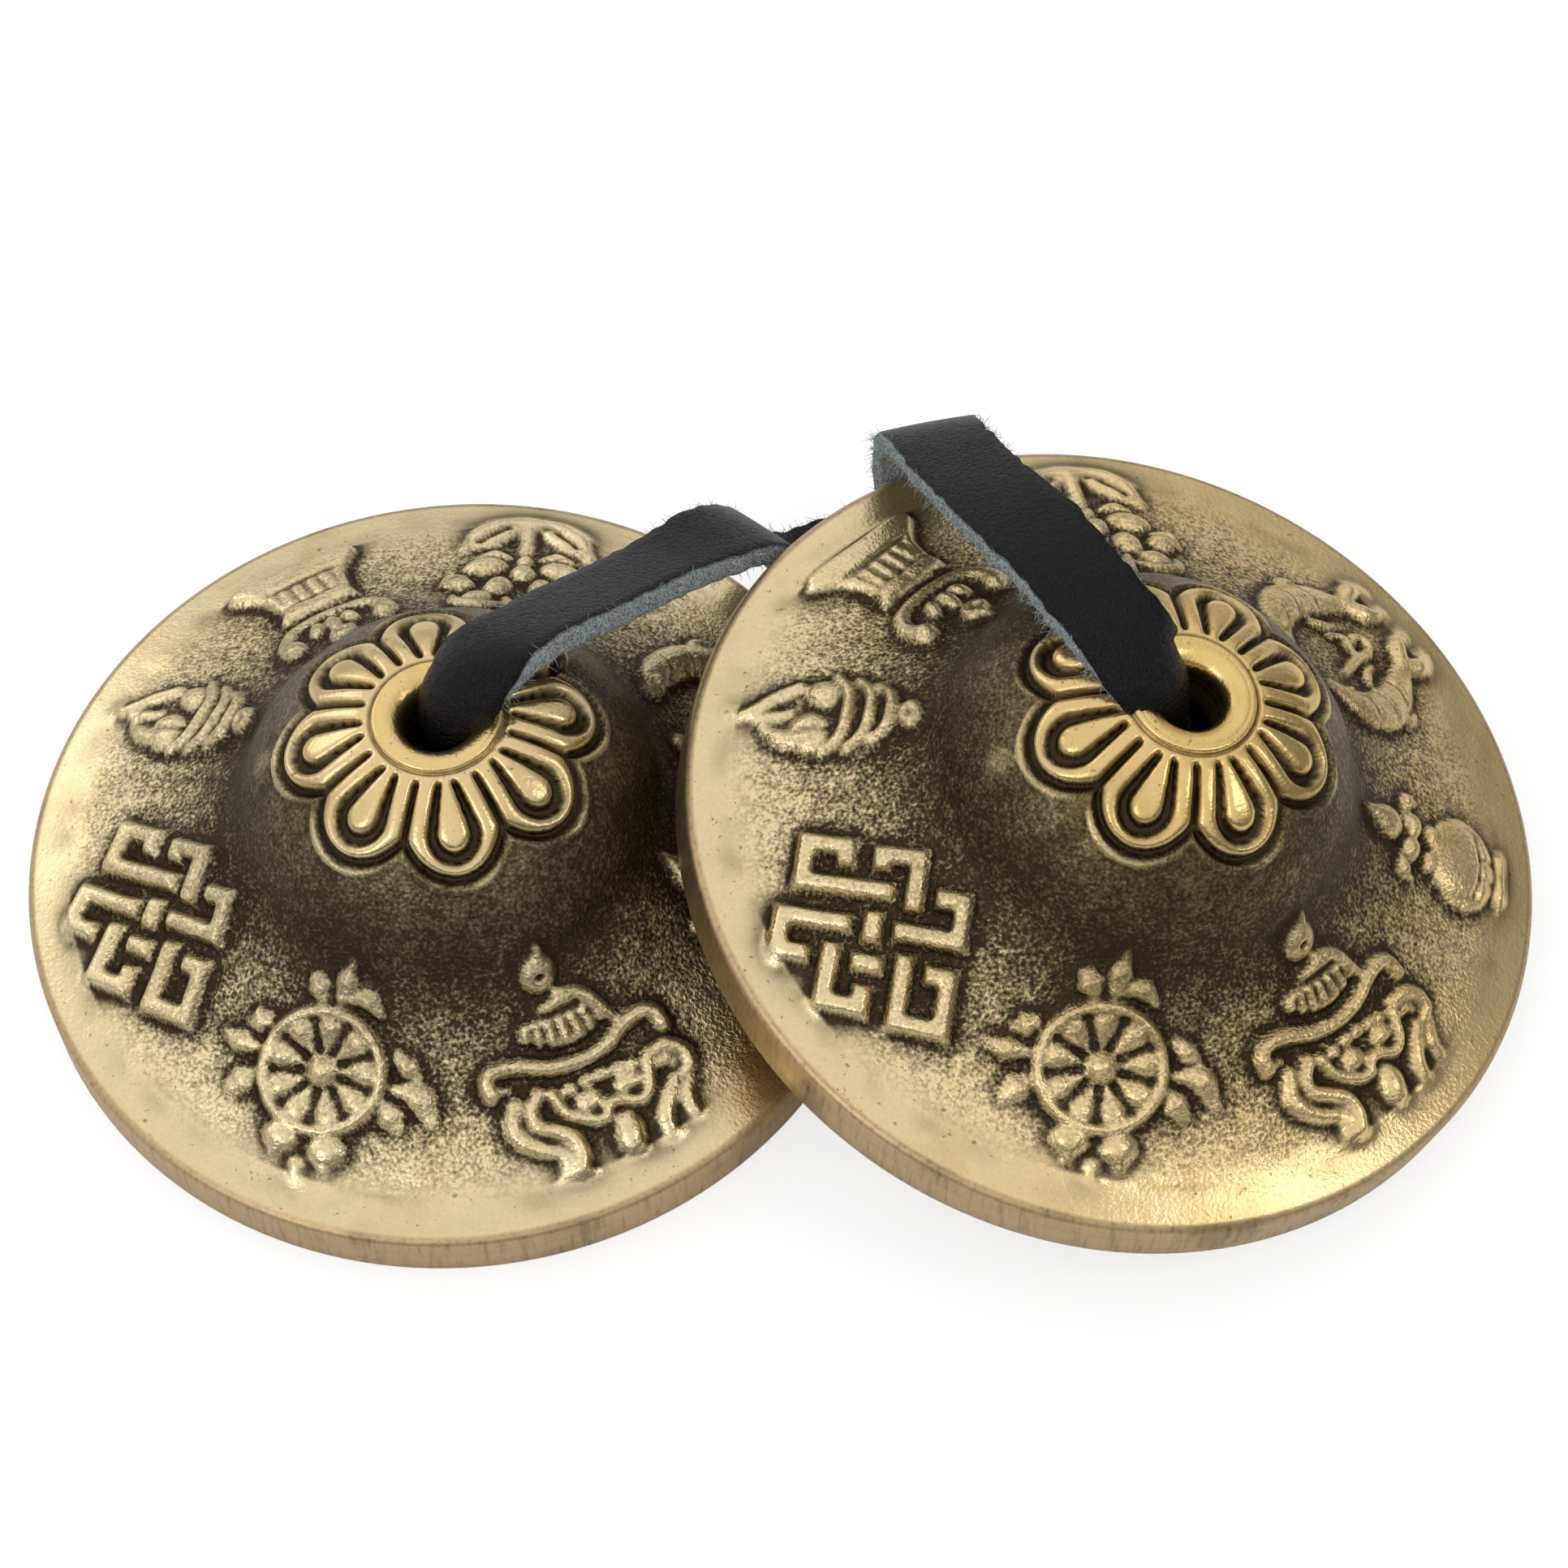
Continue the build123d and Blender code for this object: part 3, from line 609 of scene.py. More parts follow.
def victory_banner(clay):
    """Victory banner: a flared skirt with pleats, a crescent with round horns, a tuft and a ring."""
    clay.place(0.2, 0.0)
    left_side = [(-3.5, 0.2), (-3.4, -1.7), (-3.9, -3.7), (-5.5, -5.6), (-4.7, -6.9), (0.0, -7.0)]
    right_side = [(4.9, -6.9), (5.8, -5.6), (3.8, -3.8), (3.0, -1.7), (3.1, 0.2)]
    clay.slab(left_side + right_side, 0.85, 0.6)
    clay.cut([(-3.1, -4.35), (3.2, -4.2)], 0.2, 0.4)
    clay.cut([(-2.9, -1.75), (2.5, -1.65)], 0.17, 0.3)
    clay.cut([(0.1, -0.2), (0.1, -1.6)], 0.15, 0.25)
    for x in (-2.6, -1.4, -0.2, 1.0, 2.1):
        clay.cut([(x, -1.9), (x + 0.15, -3.9)], 0.24, 0.35)
    crescent = [(-3.9, 4.6), (-4.0, 3.0), (-2.8, 1.4), (0.0, 0.9), (2.8, 1.4), (4.0, 3.0), (3.9, 4.6)]
    clay.ridge(crescent, (1.15, 0.75, 0.62, 0.6, 0.62, 0.75, 1.15), 0.95)
    clay.boss((-3.8, 4.9), (1.1, 1.3), 1.05)
    clay.boss((3.8, 4.8), (1.15, 1.3), 1.05)
    clay.boss((-1.35, 3.2), (0.72, 1.2), 0.8, lean=20)
    clay.boss((0.05, 3.5), (0.75, 1.45), 0.9)
    clay.boss((1.4, 3.2), (0.72, 1.2), 0.8, lean=-20)
    clay.ring((0.1, 6.4), 0.75, 0.5, 0.85)
    clay.ridge([(0.1, 7.3), (0.2, 8.4)], (0.5, 0.35), 0.7)


def lotus(clay):
    """Lotus: a seed head between paired petals, curls and leaves on a short stem."""
    hub = (0.4, -1.0)
    clay.place(*hub, turn=8)
    clay.boss((0.0, 0.0), (1.05, 1.05), 0.9)
    clay.pit((0.0, 0.0), 0.35, 0.3)
    clay.boss((0.0, -2.0), (0.75, 0.75), 0.75)
    clay.ridge([(0.1, -3.2), (0.1, -7.2)], (0.55, 0.75, 0.7), 0.7)
    for side in (1.0, -1.0):
        clay.place(*hub, turn=8, mirror=side)
        clay.boss((3.0, -0.7), (1.95, 1.2), 0.9, lean=18)
        clay.boss((1.75, 2.5), (1.1, 1.55), 0.95, lean=-20)
        clay.boss((4.7, 2.2), (1.2, 1.05), 0.8, lean=20)
        clay.ridge([(4.4, 0.9), (5.7, 1.2), (6.1, 2.4)], (0.35, 0.5, 0.35), 0.7)
        clay.boss((3.2, 4.9), (1.5, 1.0), 0.85, lean=35)
        clay.ridge([(5.0, 4.5), (4.8, 6.0), (3.0, 6.7), (1.2, 5.6)], (0.35, 0.6, 0.6, 0.35), 0.8)
        clay.ridge([(0.9, 4.6), (0.4, 6.2), (0.5, 7.6)], (0.5, 0.7, 0.4), 0.75)
        clay.ridge([(0.5, -7.4), (2.0, -6.2), (3.6, -4.9), (5.0, -3.2)], (0.6, 1.5, 1.5, 0.5), 0.8)
        clay.cut([(1.5, -6.3), (2.7, -5.3), (3.9, -4.2)], 0.34, 0.6)
        clay.ridge([(1.3, -2.6), (2.4, -2.9), (3.6, -2.5)], (0.3, 0.5, 0.3), 0.55)


def golden_fishes(clay):
    """Pair of fishes: curved bodies with heads inward, gills, fins, forked tails and a curl between."""
    for side in (1.0, -1.0):
        clay.place(-0.2, -0.6, mirror=side)
        body = [(2.4, 6.6), (4.6, 4.8), (5.6, 2.0), (5.0, -1.4), (3.4, -4.2)]
        clay.ridge(body, (0.9, 1.75, 1.95, 1.6, 0.9), 1.0)
        clay.ridge([(3.4, -4.2), (1.6, -5.6), (1.2, -7.0)], (0.7, 0.9, 0.45), 0.8)
        clay.ridge([(3.4, -4.2), (4.0, -5.8), (3.6, -7.2)], (0.7, 0.95, 0.5), 0.8)
        clay.cut([(3.6, 4.3), (4.7, 3.7), (6.1, 3.9)], 0.18, 0.4)
        clay.cut([(4.1, 1.6), (5.4, 1.3), (7.0, 1.6)], 0.18, 0.35)
        clay.cut([(3.9, -1.2), (5.0, -1.4), (6.2, -1.0)], 0.18, 0.35)
        clay.boss((3.4, 5.6), (0.45, 0.45), 1.15)
        clay.ridge([(6.6, 1.2), (7.4, -0.4), (7.0, -1.6)], (0.35, 0.55, 0.3), 0.65)
        clay.ridge([(3.6, 1.0), (2.4, -0.2), (2.2, -1.5)], (0.35, 0.55, 0.3), 0.65)
    clay.place(-0.5, 0.0)
    curl = [(-1.6, 2.4), (-0.9, -0.4), (-0.8, -2.6), (0.1, -3.4), (0.9, -2.8), (0.5, -2.1)]
    clay.ridge(curl, (0.3, 0.55, 0.5, 0.4), 0.8)
    clay.ridge([(-0.4, -0.9), (1.2, -1.3), (2.0, -0.4)], (0.4, 0.5, 0.3), 0.7)


def treasure_vase(clay):
    """Treasure vase: a round body with petals under it, a neck, winged collar and a jewel for a lid."""
    clay.place(1.3, 0.0)
    clay.boss((0.0, -3.5), (3.9, 3.3), 1.05, power=0.42)
    for side in (1, -1):
        clay.cut([(3.0 * side, -1.0), (3.2 * side, -3.2), (2.4 * side, -5.0)], 0.2, 0.3)
    clay.cut([(-2.4, -4.6), (-0.8, -5.0), (0.8, -5.0), (2.4, -4.6)], 0.22, 0.35)
    for x in (-0.9, 0.9):
        clay.cut([(x, -5.0), (x, -6.6)], 0.2, 0.35)
    clay.ridge([(-1.7, -7.2), (1.7, -7.2)], (0.55, 0.45, 0.55), 0.75)
    clay.boss((-1.2, -0.3), (0.95, 0.6), 0.8)
    clay.boss((1.1, -0.3), (0.95, 0.6), 0.8)
    for side in (1, -1):
        clay.boss((side, 1.7), (1.15, 0.95), 0.9, lean=15 * side)
        clay.ridge([(1.7 * side, 2.6), (2.9 * side, 2.3), (3.3 * side, 1.2)], (0.4, 0.85, 0.3), 0.85)
    clay.boss((0.0, 4.6), (1.35, 1.75), 1.05)
    clay.ridge([(0.0, 5.8), (0.0, 7.4)], (0.9, 0.35), 0.9)


# Each symbol with its azimuth on the cymbal, in degrees
SYMBOLS = (
    (wheel, 250.8),
    (endless_knot, 202.0),
    (conch, 156.0),
    (victory_banner, 121.0),
    (lotus, 80.0),
    (golden_fishes, 27.5),
    (treasure_vase, 339.3),
    (parasol, 297.0),
)
# Radius of the symbols' middles, reach round a middle in millimetres and in radians, and where they die out
SYMBOL_RADIUS = 22.5
SYMBOL_REACH = 10.5
SYMBOL_SPREAD = 1.2
SYMBOL_END = (31.0, 30.2)
# The rosette: petals, the drop in each, and the grooves and ridges round them, in millimetres
PETALS = 8
PETAL_PHASE = math.radians(-79.0)
PETAL_CENTRE = 7.9
PETAL_RADIUS = 3.6
TEAR_TIP = 4.2
TEAR_LENGTH = 4.55
TEAR_RADIUS = 0.98
TAPER_RADII = (5.0, 9.0)
TAPER = (0.45, 1.0)
TEAR_GROOVE = 0.55
TEAR_GROOVE_HALF = 0.3
EDGE_GROOVE_HALF = 0.16
RIDGE_WIDTH = 0.75
EDGING_PLACE = 0.55
EDGING_HALF = 0.22
EDGING_HEIGHT = 0.45
EDGING_RADII = (9.6, 10.8)
MOAT = (0.1, 0.4)
MOAT_DEPTH = 0.8
ROOT_RADII = (5.7, 5.1)
ROOT_HEIGHT = 0.75
COLLAR_GROOVE = 4.78
COLLAR_GROOVE_HALF = 0.2
COLLAR_GROOVE_DEPTH = 0.8


def arc(start, end, sag, count):
    """Points of an arc from start to end, bulging by sag to the left of its chord."""
    start, end = np.array(start, float), np.array(end, float)
    chord = np.hypot(*(end - start))
    radius = (chord**2 / 4 + sag**2) / (2 * sag)
    direction = (end - start) / chord
    normal = np.array([-direction[1], direction[0]])
    centre = (start + end) / 2 + (sag - radius) * normal
    half = math.asin(min(1.0, chord / (2 * abs(radius)))) * math.copysign(1.0, radius)
    angles = np.linspace(-half, half, count)
    return centre + radius * (np.outer(np.sin(angles), direction) + np.outer(np.cos(angles), normal))


class Profile:
    """Half section of a cymbal as rings of (radius, height), out over the top and back underneath."""

    # Vertices in a ring
    FINE = 640
    MEDIUM = 320
    COARSE = 160
    # Beyond this radius the top is fine, except for the last rings of the lip
    FINE_FROM = 14.4
    LIP_RINGS = 10
    # The lip of the hole, as steps in radius and height from the bore and the shoulder
    FUNNEL = ((0.0, -2.4), (-0.32, -1.5), (-0.38, -0.8), (-0.12, -0.15), (0.45, 0.26), (1.05, 0.4))
    COLLAR_EDGE = (-0.28, 0.3)
    # Sizes of the section in millimetres, from the dome out over the rim and back under the dome
    DOME_BULGE = 2.2
    FLARE_SAG = 1.0
    RIM_EDGE = 0.7
    RIM_EDGE_RISE = 0.18
    RIM_EDGE_BULGE = 0.26
    SEAT_WIDTH = 5.0
    SEAT_CHAMFER = 0.5
    DOME_WALL = 3.4
    INNER_FOOT_HEIGHT = 9.0
    INNER_DOME_BULGE = 1.8
    CEILING_RADIUS = 5.5
    CEILING_THICKNESS = 4.6
    # Distances from the dome's foot at which its rounding starts and is full, and its passes
    FOOT_NEAR = (2.2, 0.4)
    FOOT_PASSES = 60

    def __init__(self, look):
        rim = look.diameter / 2 / MM
        edge = look.rim_thickness / MM
        lip = (rim - look.lip_width / MM, edge + look.lip_rise / MM)
        foot = (look.foot_radius / MM, look.foot_height / MM)
        dome = look.dome_height / MM
        collar = look.collar_radius / MM
        hole = look.hole_radius / MM
        funnel = [(hole + out, dome + up) for out, up in self.FUNNEL]
        shoulder = [(collar + self.COLLAR_EDGE[0], dome + self.COLLAR_EDGE[1]), (collar, dome)]
        brow = (rim - self.RIM_EDGE, edge + self.RIM_EDGE_RISE)
        side_top = (rim, edge - self.RIM_EDGE)
        side_foot = (rim, self.SEAT_CHAMFER)
        seat_out = (rim - self.SEAT_CHAMFER, 0.0)
        seat_in = (rim - self.SEAT_WIDTH, 0.0)
        inner_foot = (foot[0] - self.DOME_WALL, self.INNER_FOOT_HEIGHT)
        ceiling_out = (self.CEILING_RADIUS, dome - self.CEILING_THICKNESS)
        ceiling_in = (hole, dome - self.CEILING_THICKNESS)
        top_spans = [
            (curve_through(funnel + shoulder, 3), self.MEDIUM),
            (arc((collar, dome), foot, self.DOME_BULGE, 78)[1:], self.MEDIUM),
            (arc(foot, lip, -self.FLARE_SAG, 84)[1:], self.FINE),
            (np.linspace(lip, brow, 10)[1:], self.MEDIUM),
        ]
        under_spans = [
            (arc(brow, side_top, self.RIM_EDGE_BULGE, 6)[1:], self.MEDIUM),
            (np.linspace(side_top, side_foot, 4)[1:], self.COARSE),
            (np.linspace(side_foot, seat_out, 3)[1:], self.COARSE),
            (np.linspace(seat_out, seat_in, 5)[1:], self.COARSE),
            (np.linspace(seat_in, inner_foot, 10)[1:], self.COARSE),
            (arc(inner_foot, ceiling_out, -self.INNER_DOME_BULGE, 10)[1:], self.COARSE),
            (np.linspace(ceiling_out, ceiling_in, 3)[1:], self.COARSE),
            (np.linspace(ceiling_in, funnel[0], 5)[1:-1], self.COARSE),
        ]
        spans = top_spans + under_spans
        self.points = np.vstack([points for points, _ in spans])
        self.segments = np.concatenate([np.full(len(points), count) for points, count in spans])
        self.top = sum(len(points) for points, _ in top_spans)
        inside_lip = np.arange(len(self.points)) < self.top - self.LIP_RINGS
        self.segments[inside_lip & (self.points[:, 0] > self.FINE_FROM)] = self.FINE
        self.soften_foot(foot)
        ahead = np.roll(self.points, -1, axis=0) - np.roll(self.points, 1, axis=0)
        ahead /= np.hypot(*ahead.T)[:, None]
        self.normals = np.stack([-ahead[:, 1], ahead[:, 0]], 1)
        self.travel = np.concatenate([[0.0], np.cumsum(np.hypot(*np.diff(self.points, axis=0).T))])

    def soften_foot(self, foot):
        """Rounds the hollow where the plate meets the dome."""
        near = np.hypot(*(self.points - foot).T)
        share = smooth(near, *self.FOOT_NEAR)[:, None]
        for _ in range(self.FOOT_PASSES):
            middle = (np.roll(self.points, 1, axis=0) + np.roll(self.points, -1, axis=0)) / 2
            self.points += 0.5 * share * (middle - self.points)

    def distance_out(self, radius):
        """Distance along the top from the hole to a radius."""
        return np.interp(radius, self.points[: self.top, 0], self.travel[: self.top])


def rosette(radius, azimuth):
    """Height of the rosette, from -1 in its grooves to 1 on its ridges, and the distance outside it."""
    half = math.pi / PETALS
    turn = (azimuth - PETAL_PHASE + half) % (2 * half) - half
    x = radius * np.cos(turn)
    y = radius * np.abs(np.sin(turn))
    outside = np.hypot(np.maximum(x - PETAL_CENTRE, 0.0), y) - PETAL_RADIUS
    to_edge = np.minimum(np.abs(outside), x * math.sin(half) - y * math.cos(half))
    tear = petal_distance(x - TEAR_TIP, y, TEAR_LENGTH, TEAR_RADIUS)
    narrow = np.interp(radius, TAPER_RADII, TAPER)
    to_tear = np.abs(tear - TEAR_GROOVE * narrow) - TEAR_GROOVE_HALF * narrow
    to_groove = np.minimum(to_tear, to_edge - EDGE_GROOVE_HALF)
    fall = 1.0 - np.clip(to_groove / (RIDGE_WIDTH * narrow), 0.0, 1.0)
    height = 2.0 * np.sqrt(1.0 - fall**2) - 1.0
    edging = EDGING_HEIGHT * ridge_share((outside - EDGING_PLACE) / EDGING_HALF, 0.5)
    border = MOAT_DEPTH * smooth(outside, *MOAT) - MOAT_DEPTH + edging * smooth(radius, *EDGING_RADII)
    height = np.where(outside > 0.0, border, height)
    root = smooth(radius, *ROOT_RADII)
    height = height * (1.0 - root) + ROOT_HEIGHT * root
    groove = ridge_share((radius - COLLAR_GROOVE) / COLLAR_GROOVE_HALF, 1.0)
    return height - COLLAR_GROOVE_DEPTH * groove, outside


def petal_distance(x, y, centre, radius):
    """Signed distance to a round-ended petal that is drawn in to a point at the axis."""
    half = math.asin(radius / centre)
    side = y * math.cos(half) - x * math.sin(half)
    beyond = x * math.cos(half) + y * math.sin(half) > centre * math.cos(half)
    return np.where(beyond, np.hypot(x - centre, y) - radius, side)


def soften(field, passes):
    """A field on rings by azimuths, blurred by so many small steps."""
    for _ in range(passes):
        field = (np.roll(field, 1, 1) + 2 * field + np.roll(field, -1, 1)) / 4
        padded = np.vstack([field[:1], field, field[-1:]])
        field = (padded[:-2] + 2 * padded[1:-1] + padded[2:]) / 4
    return field


def symbol_field(profile, radius, azimuth):
    """Height of the eight symbols over a grid of rings by azimuths, from 0 to about 1."""
    height = np.zeros_like(radius)
    middle = profile.distance_out(SYMBOL_RADIUS)
    for draw, degrees in SYMBOLS:
        turn = (azimuth - math.radians(degrees) + math.pi) % (2 * math.pi) - math.pi
        x = radius * np.sin(turn)
        y = middle - profile.distance_out(radius * np.cos(turn))
        near = (np.abs(x) < SYMBOL_REACH) & (np.abs(y) < SYMBOL_REACH) & (np.abs(turn) < SYMBOL_SPREAD)
        clay = Clay(x[near], y[near])
        draw(clay)
        height[near] = np.maximum(height[near], clay.height)
    return height * smooth(radius, *SYMBOL_END)


class Cymbal:
    """Rings of one cymbal with its relief, ready to be placed."""

    MARKS = ("hollow", "worn", "sandy", "gilt", "turned", "level")
    # How dark the patina and painted shade are from the collar out over the dome and its foot to the plate;
    # the dark over the dome and at its foot is painted shade as well as patina
    TONE_RADII = (4.5, 5.5, 9.0, 12.5, 15.6, 17.2, 19.0, 21.5, 24.5, 29.0)
    PATINA_AND_SHADE_TONES = (0.0, 0.3, 0.54, 0.7, 0.86, 0.76, 0.54, 0.36, 0.2, 0.04)
    # How sandy the cast skin is on the way out, the last two places measured from the rim
    SANDY_RADII = (5.0, 12.0, 15.0, 18.0, 24.0)
    SANDY_FROM_RIM = (5.0, 2.5)
    SANDY = (0.1, 0.4, 0.55, 0.95, 0.95, 0.6, 0.12)
    # Waves in the skin: their count, shortest and longest in millimetres, share of a length, radii and seed
    WAVES = 18
    WAVE_LENGTHS = (3.0, 11.0)
    SWELL = 0.0022
    SWELL_START = (5.0, 8.0)
    SWELL_END = (31.5, 29.0)
    SWELL_SEED = 11
    # Radius where the rosette starts, and a distance outside it for rings without one
    ROSETTE_START = 4.3
    FAR_OUTSIDE = 9.0
    # How patina gathers: passes of blur and gain, close to the relief and further round it
    CREVICE = (6, 4.0)
    HALO = (40, 2.4)
    # Radii over which a finish sets in
    COLLAR = (4.8, 4.5)
    HANDLED = (12.5, 9.5)
    DOME = (14.0, 13.0)
    # Distances in from the rim over which a finish sets in
    LIP = (5.2, 2.8)
    BRIM = (0.9, 0.1)
    TURNED = (0.5, 0.1)
    # Heights of the rim below which it is turned, and heights of relief that are worn
    TURNED_LEVEL = (4.4, 3.9)
    WORN_SYMBOL = (0.12, 0.55)
    WORN_PETAL = (0.06, 0.2)
    # Distances outside a petal over which its finish sets in
    PETAL = (0.3, -0.1)

    def __init__(self, look):
        self.profile = Profile(look)
        self.look = look
        self.offsets = np.concatenate([[0], np.cumsum(self.profile.segments)])
        count = self.offsets[-1]
        self.places = np.zeros((count, 3))
        self.marks = {name: np.zeros(count) for name in self.MARKS}
        for first, last in self.groups():
            self.cast(first, last)

    def groups(self):
        """Runs of neighbouring rings with one count of segments."""
        changes = np.flatnonzero(np.diff(self.profile.segments)) + 1
        edges = [0, *changes, len(self.profile.segments)]
        return list(zip(edges, edges[1:]))

    def cast(self, first, last):
        """Places the vertices of rings first to last and marks their finish."""
        profile = self.profile
        segments = profile.segments[first]
        azimuth, radius = np.meshgrid(
            np.arange(segments) * 2 * math.pi / segments, profile.points[first:last, 0]
        )
        level = np.repeat(profile.points[first:last, 1:2], segments, axis=1)
        normal = profile.normals[first:last]
        top = np.arange(first, last)[:, None] < profile.top
        relief = np.zeros_like(radius)
        outside = np.full_like(radius, self.FAR_OUTSIDE)
        if first < profile.top:
            petals, outside = rosette(radius, azimuth)
            petals = petals * (radius > self.ROSETTE_START) * top
            scale = np.where(petals > 0, self.look.petal_height, self.look.groove_depth)
            relief += petals * scale / MM
            if profile.points[last - 1, 0] > SYMBOL_RADIUS:
                symbols = soften(symbol_field(profile, radius, azimuth), 1)
                relief += symbols * self.look.symbol_height / MM
            skin = smooth(radius, *self.SWELL_START) * smooth(radius, *self.SWELL_END) * top
            relief += self.swell(radius, azimuth) * skin
        out = radius + relief * normal[:, :1]
        height = level + relief * normal[:, 1:]
        span = slice(self.offsets[first], self.offsets[last])
        self.places[span] = np.stack(
            [(out * np.cos(azimuth)).ravel(), (out * np.sin(azimuth)).ravel(), height.ravel()], 1
        )
        self.mark(span, radius, level, relief, outside, top)

    def swell(self, radius, azimuth):
        """Slight waves that casting and hand finishing leave in the skin, in millimetres."""
        random = np.random.default_rng(self.SWELL_SEED)
        x, y = radius * np.cos(azimuth), radius * np.sin(azimuth)
        height = np.zeros_like(radius)
        for _ in range(self.WAVES):
            way, phase = random.uniform(0.0, 2 * math.pi, 2)
            length = random.uniform(*self.WAVE_LENGTHS)
            along = x * math.cos(way) + y * math.sin(way)
            height += length * np.cos(along * 2 * math.pi / length + phase)
        return height * self.SWELL

    def mark(self, span, radius, level, relief, outside, top):
        """Finish of the brass: patina in hollows, painted shade over the dome and at its foot, wear on
        highs, cast grain, handled collar, turned rim.
        """
        rim = self.look.diameter / 2 / MM
        lip, brim, turned = (
            smooth(radius, rim - inner, rim - outer) for inner, outer in (self.LIP, self.BRIM, self.TURNED)
        )
        gathered, spread = (
            np.clip((soften(relief, passes) - relief) * gain, 0, 1)
            for passes, gain in (self.CREVICE, self.HALO)
        )
        crevice = np.where(outside < self.PETAL[0], 0.55, 0.8) * gathered
        # Painted shade together with patina: darker over the dome, darkest in the hollow at its foot, fading
        # out over the plate
        patina_and_shade_tone = np.interp(radius, self.TONE_RADII, self.PATINA_AND_SHADE_TONES)
        collar = smooth(radius, *self.COLLAR)
        petal = smooth(outside, *self.PETAL) * (1 - collar)
        high = smooth(relief, *self.WORN_SYMBOL)
        crest = smooth(relief, *self.WORN_PETAL) * smooth(radius, *self.DOME)
        worn = high + crest + collar + lip
        # Patina in the crevices and round the relief, added to the painted shade and patina of the dome
        hollow = patina_and_shade_tone * (1 - 0.45 * petal) * (1 - 0.7 * high) * (1 - 0.75 * crest)
        hollow += (crevice + 0.6 * spread) * (1 - collar)
        sandy_radii = (*self.SANDY_RADII, *(rim - inward for inward in self.SANDY_FROM_RIM))
        sandy = np.interp(radius, sandy_radii, self.SANDY)
        polished = smooth(radius, *self.HANDLED) * 0.6 + 0.4 * collar + 0.7 * brim
        marks = {
            "hollow": np.clip(hollow, 0, 1) * top,
            "worn": np.clip(worn, 0, 1) * top,
            "sandy": sandy * (1 - 0.7 * petal) * top,
            "gilt": polished * top,
            "turned": np.where(top, turned * smooth(level, *self.TURNED_LEVEL), 1.0),
            "level": level,
        }
        for name, value in marks.items():
            self.marks[name][span] = np.broadcast_to(value, radius.shape).ravel()

    def faces(self):
        """Quads between rings of one count, and fans where the count halves or doubles."""
        quads, triangles = [], []
        rings = len(self.profile.segments)
        for k in range(rings):
            after = (k + 1) % rings
            n, m = self.profile.segments[k], self.profile.segments[after]
            a, b = self.offsets[k], self.offsets[after]
            if n == m:
                i = np.arange(n)
                j = (i + 1) % n
                quads.append(np.stack([a + i, b + i, b + j, a + j], 1))
            else:
                fine, coarse, flip = (a, b, False) if n > m else (b, a, True)
                i = np.arange(min(n, m))
                j = (i + 1) % min(n, m)
                wrap = 2 * min(n, m)
                fans = (
                    np.stack([fine + 2 * i, coarse + i, fine + 2 * i + 1], 1),
                    np.stack([fine + 2 * i + 1, coarse + i, coarse + j], 1),
                    np.stack([fine + 2 * i + 1, coarse + j, fine + (2 * i + 2) % wrap], 1),
                )
                for fan in fans:
                    triangles.append(fan[:, ::-1] if flip else fan)
        return np.vstack(quads).tolist() + np.vstack(triangles).tolist()

    def piece(self, name, place):
        """A mesh object of the cymbal at its place in the frame."""
        points = np.c_[self.places * MM, np.ones(len(self.places))] @ np.array(place).T
        mesh = bpy.data.meshes.new(name)
        mesh.from_pydata(points[:, :3].tolist(), [], self.faces())
        for mark, values in self.marks.items():
            mark_points(mesh, mark, values)
        return finished(name, mesh)


def mark_points(mesh, name, values):
    """Stores a value at each point of a mesh."""
    mesh.attributes.new(name, "FLOAT", "POINT").data.foreach_set("value", np.float32(values))


def finished(name, mesh):
    """An object for a mesh, smooth shaded and linked to the scene."""
    mesh.polygons.foreach_set("use_smooth", [True] * len(mesh.polygons))
    mesh.update()
    piece = bpy.data.objects.new(name, mesh)
    bpy.context.scene.collection.objects.link(piece)
    return piece


def cast_brass(look):
    """Cast brass: bright where it is worn, brown patina in the hollows with painted shade over the dome and
    at its foot, a sandy skin and a turned rim.
    """
    paint = Paint(bpy.data.materials.new("cast_brass"))
    place = paint.object_place()
    hollow, worn, sandy, gilt, turned, level = (paint.attribute(name) for name in Cymbal.MARKS)
    grain = paint.noise(place, 3600.0, 2.0, 0.5)
    coarse = paint.noise(place, 1100.0, 2.0)
    cloud = paint.noise(place, 140.0, 3.0, 0.55)
    pits = paint.noise(place, 1700.0, 2.0, 0.6)
    skin = sandy * (1 - worn * 0.6)
    sand = skin * ((0.5 - grain) * 2.2 + (0.5 - coarse) * 0.9)
    stains = (cloud.step(0.5, 0.72) * 0.06 + pits.step(0.66, 0.74) * 0.3) * (1 - turned)
    # The dark share holds the patina, the painted shade over the dome and at its foot, the sand and the
    # stains
    dark = (hollow * (0.9 + 0.2 * cloud) + sand + stains).clamped()
    across = paint.axis(place, "X")
    warm = (gilt * 0.75 + cloud.step(0.45, 0.75) * 0.2 + across.step(-0.01, 0.04) * 0.5).clamped()
    metal = paint.blend(warm, look.brass, look.gilt)
    lathe = paint.lines(level, 5.0)
    streaks = paint.noise(paint.stretched(place, (1.0, 1.0, 0.08)), 2600.0, 3.0, 0.6)
    worked = lathe.step(0.4, 0.75) * 0.3 + streaks.step(0.45, 0.75) * 0.35 + cloud.step(0.5, 0.7) * 0.3
    rim = paint.blend(worked.clamped(), look.turned, look.patina_and_shade_colour)
    metal = paint.blend(turned, metal, rim)
    colour = paint.blend(1 - (1 - dark) ** 2.0, metal, look.patina_and_shade_colour)
    normal = paint.bump((grain * 0.65 + coarse * 0.35) * (0.12 + skin), 0.0003, 0.9)
    normal = paint.bump(pits * (1 - turned), 0.00008, 0.25, normal)
    normal = paint.bump(lathe * turned, 0.00005, 0.4, normal)
    return paint.finish(
        Base_Color=colour,
        Metallic=1 - 0.12 * dark,
        Roughness=0.2 + 0.1 * skin + 0.18 * dark + 0.2 * turned + 0.1 * cloud,
        Normal=normal,
    )


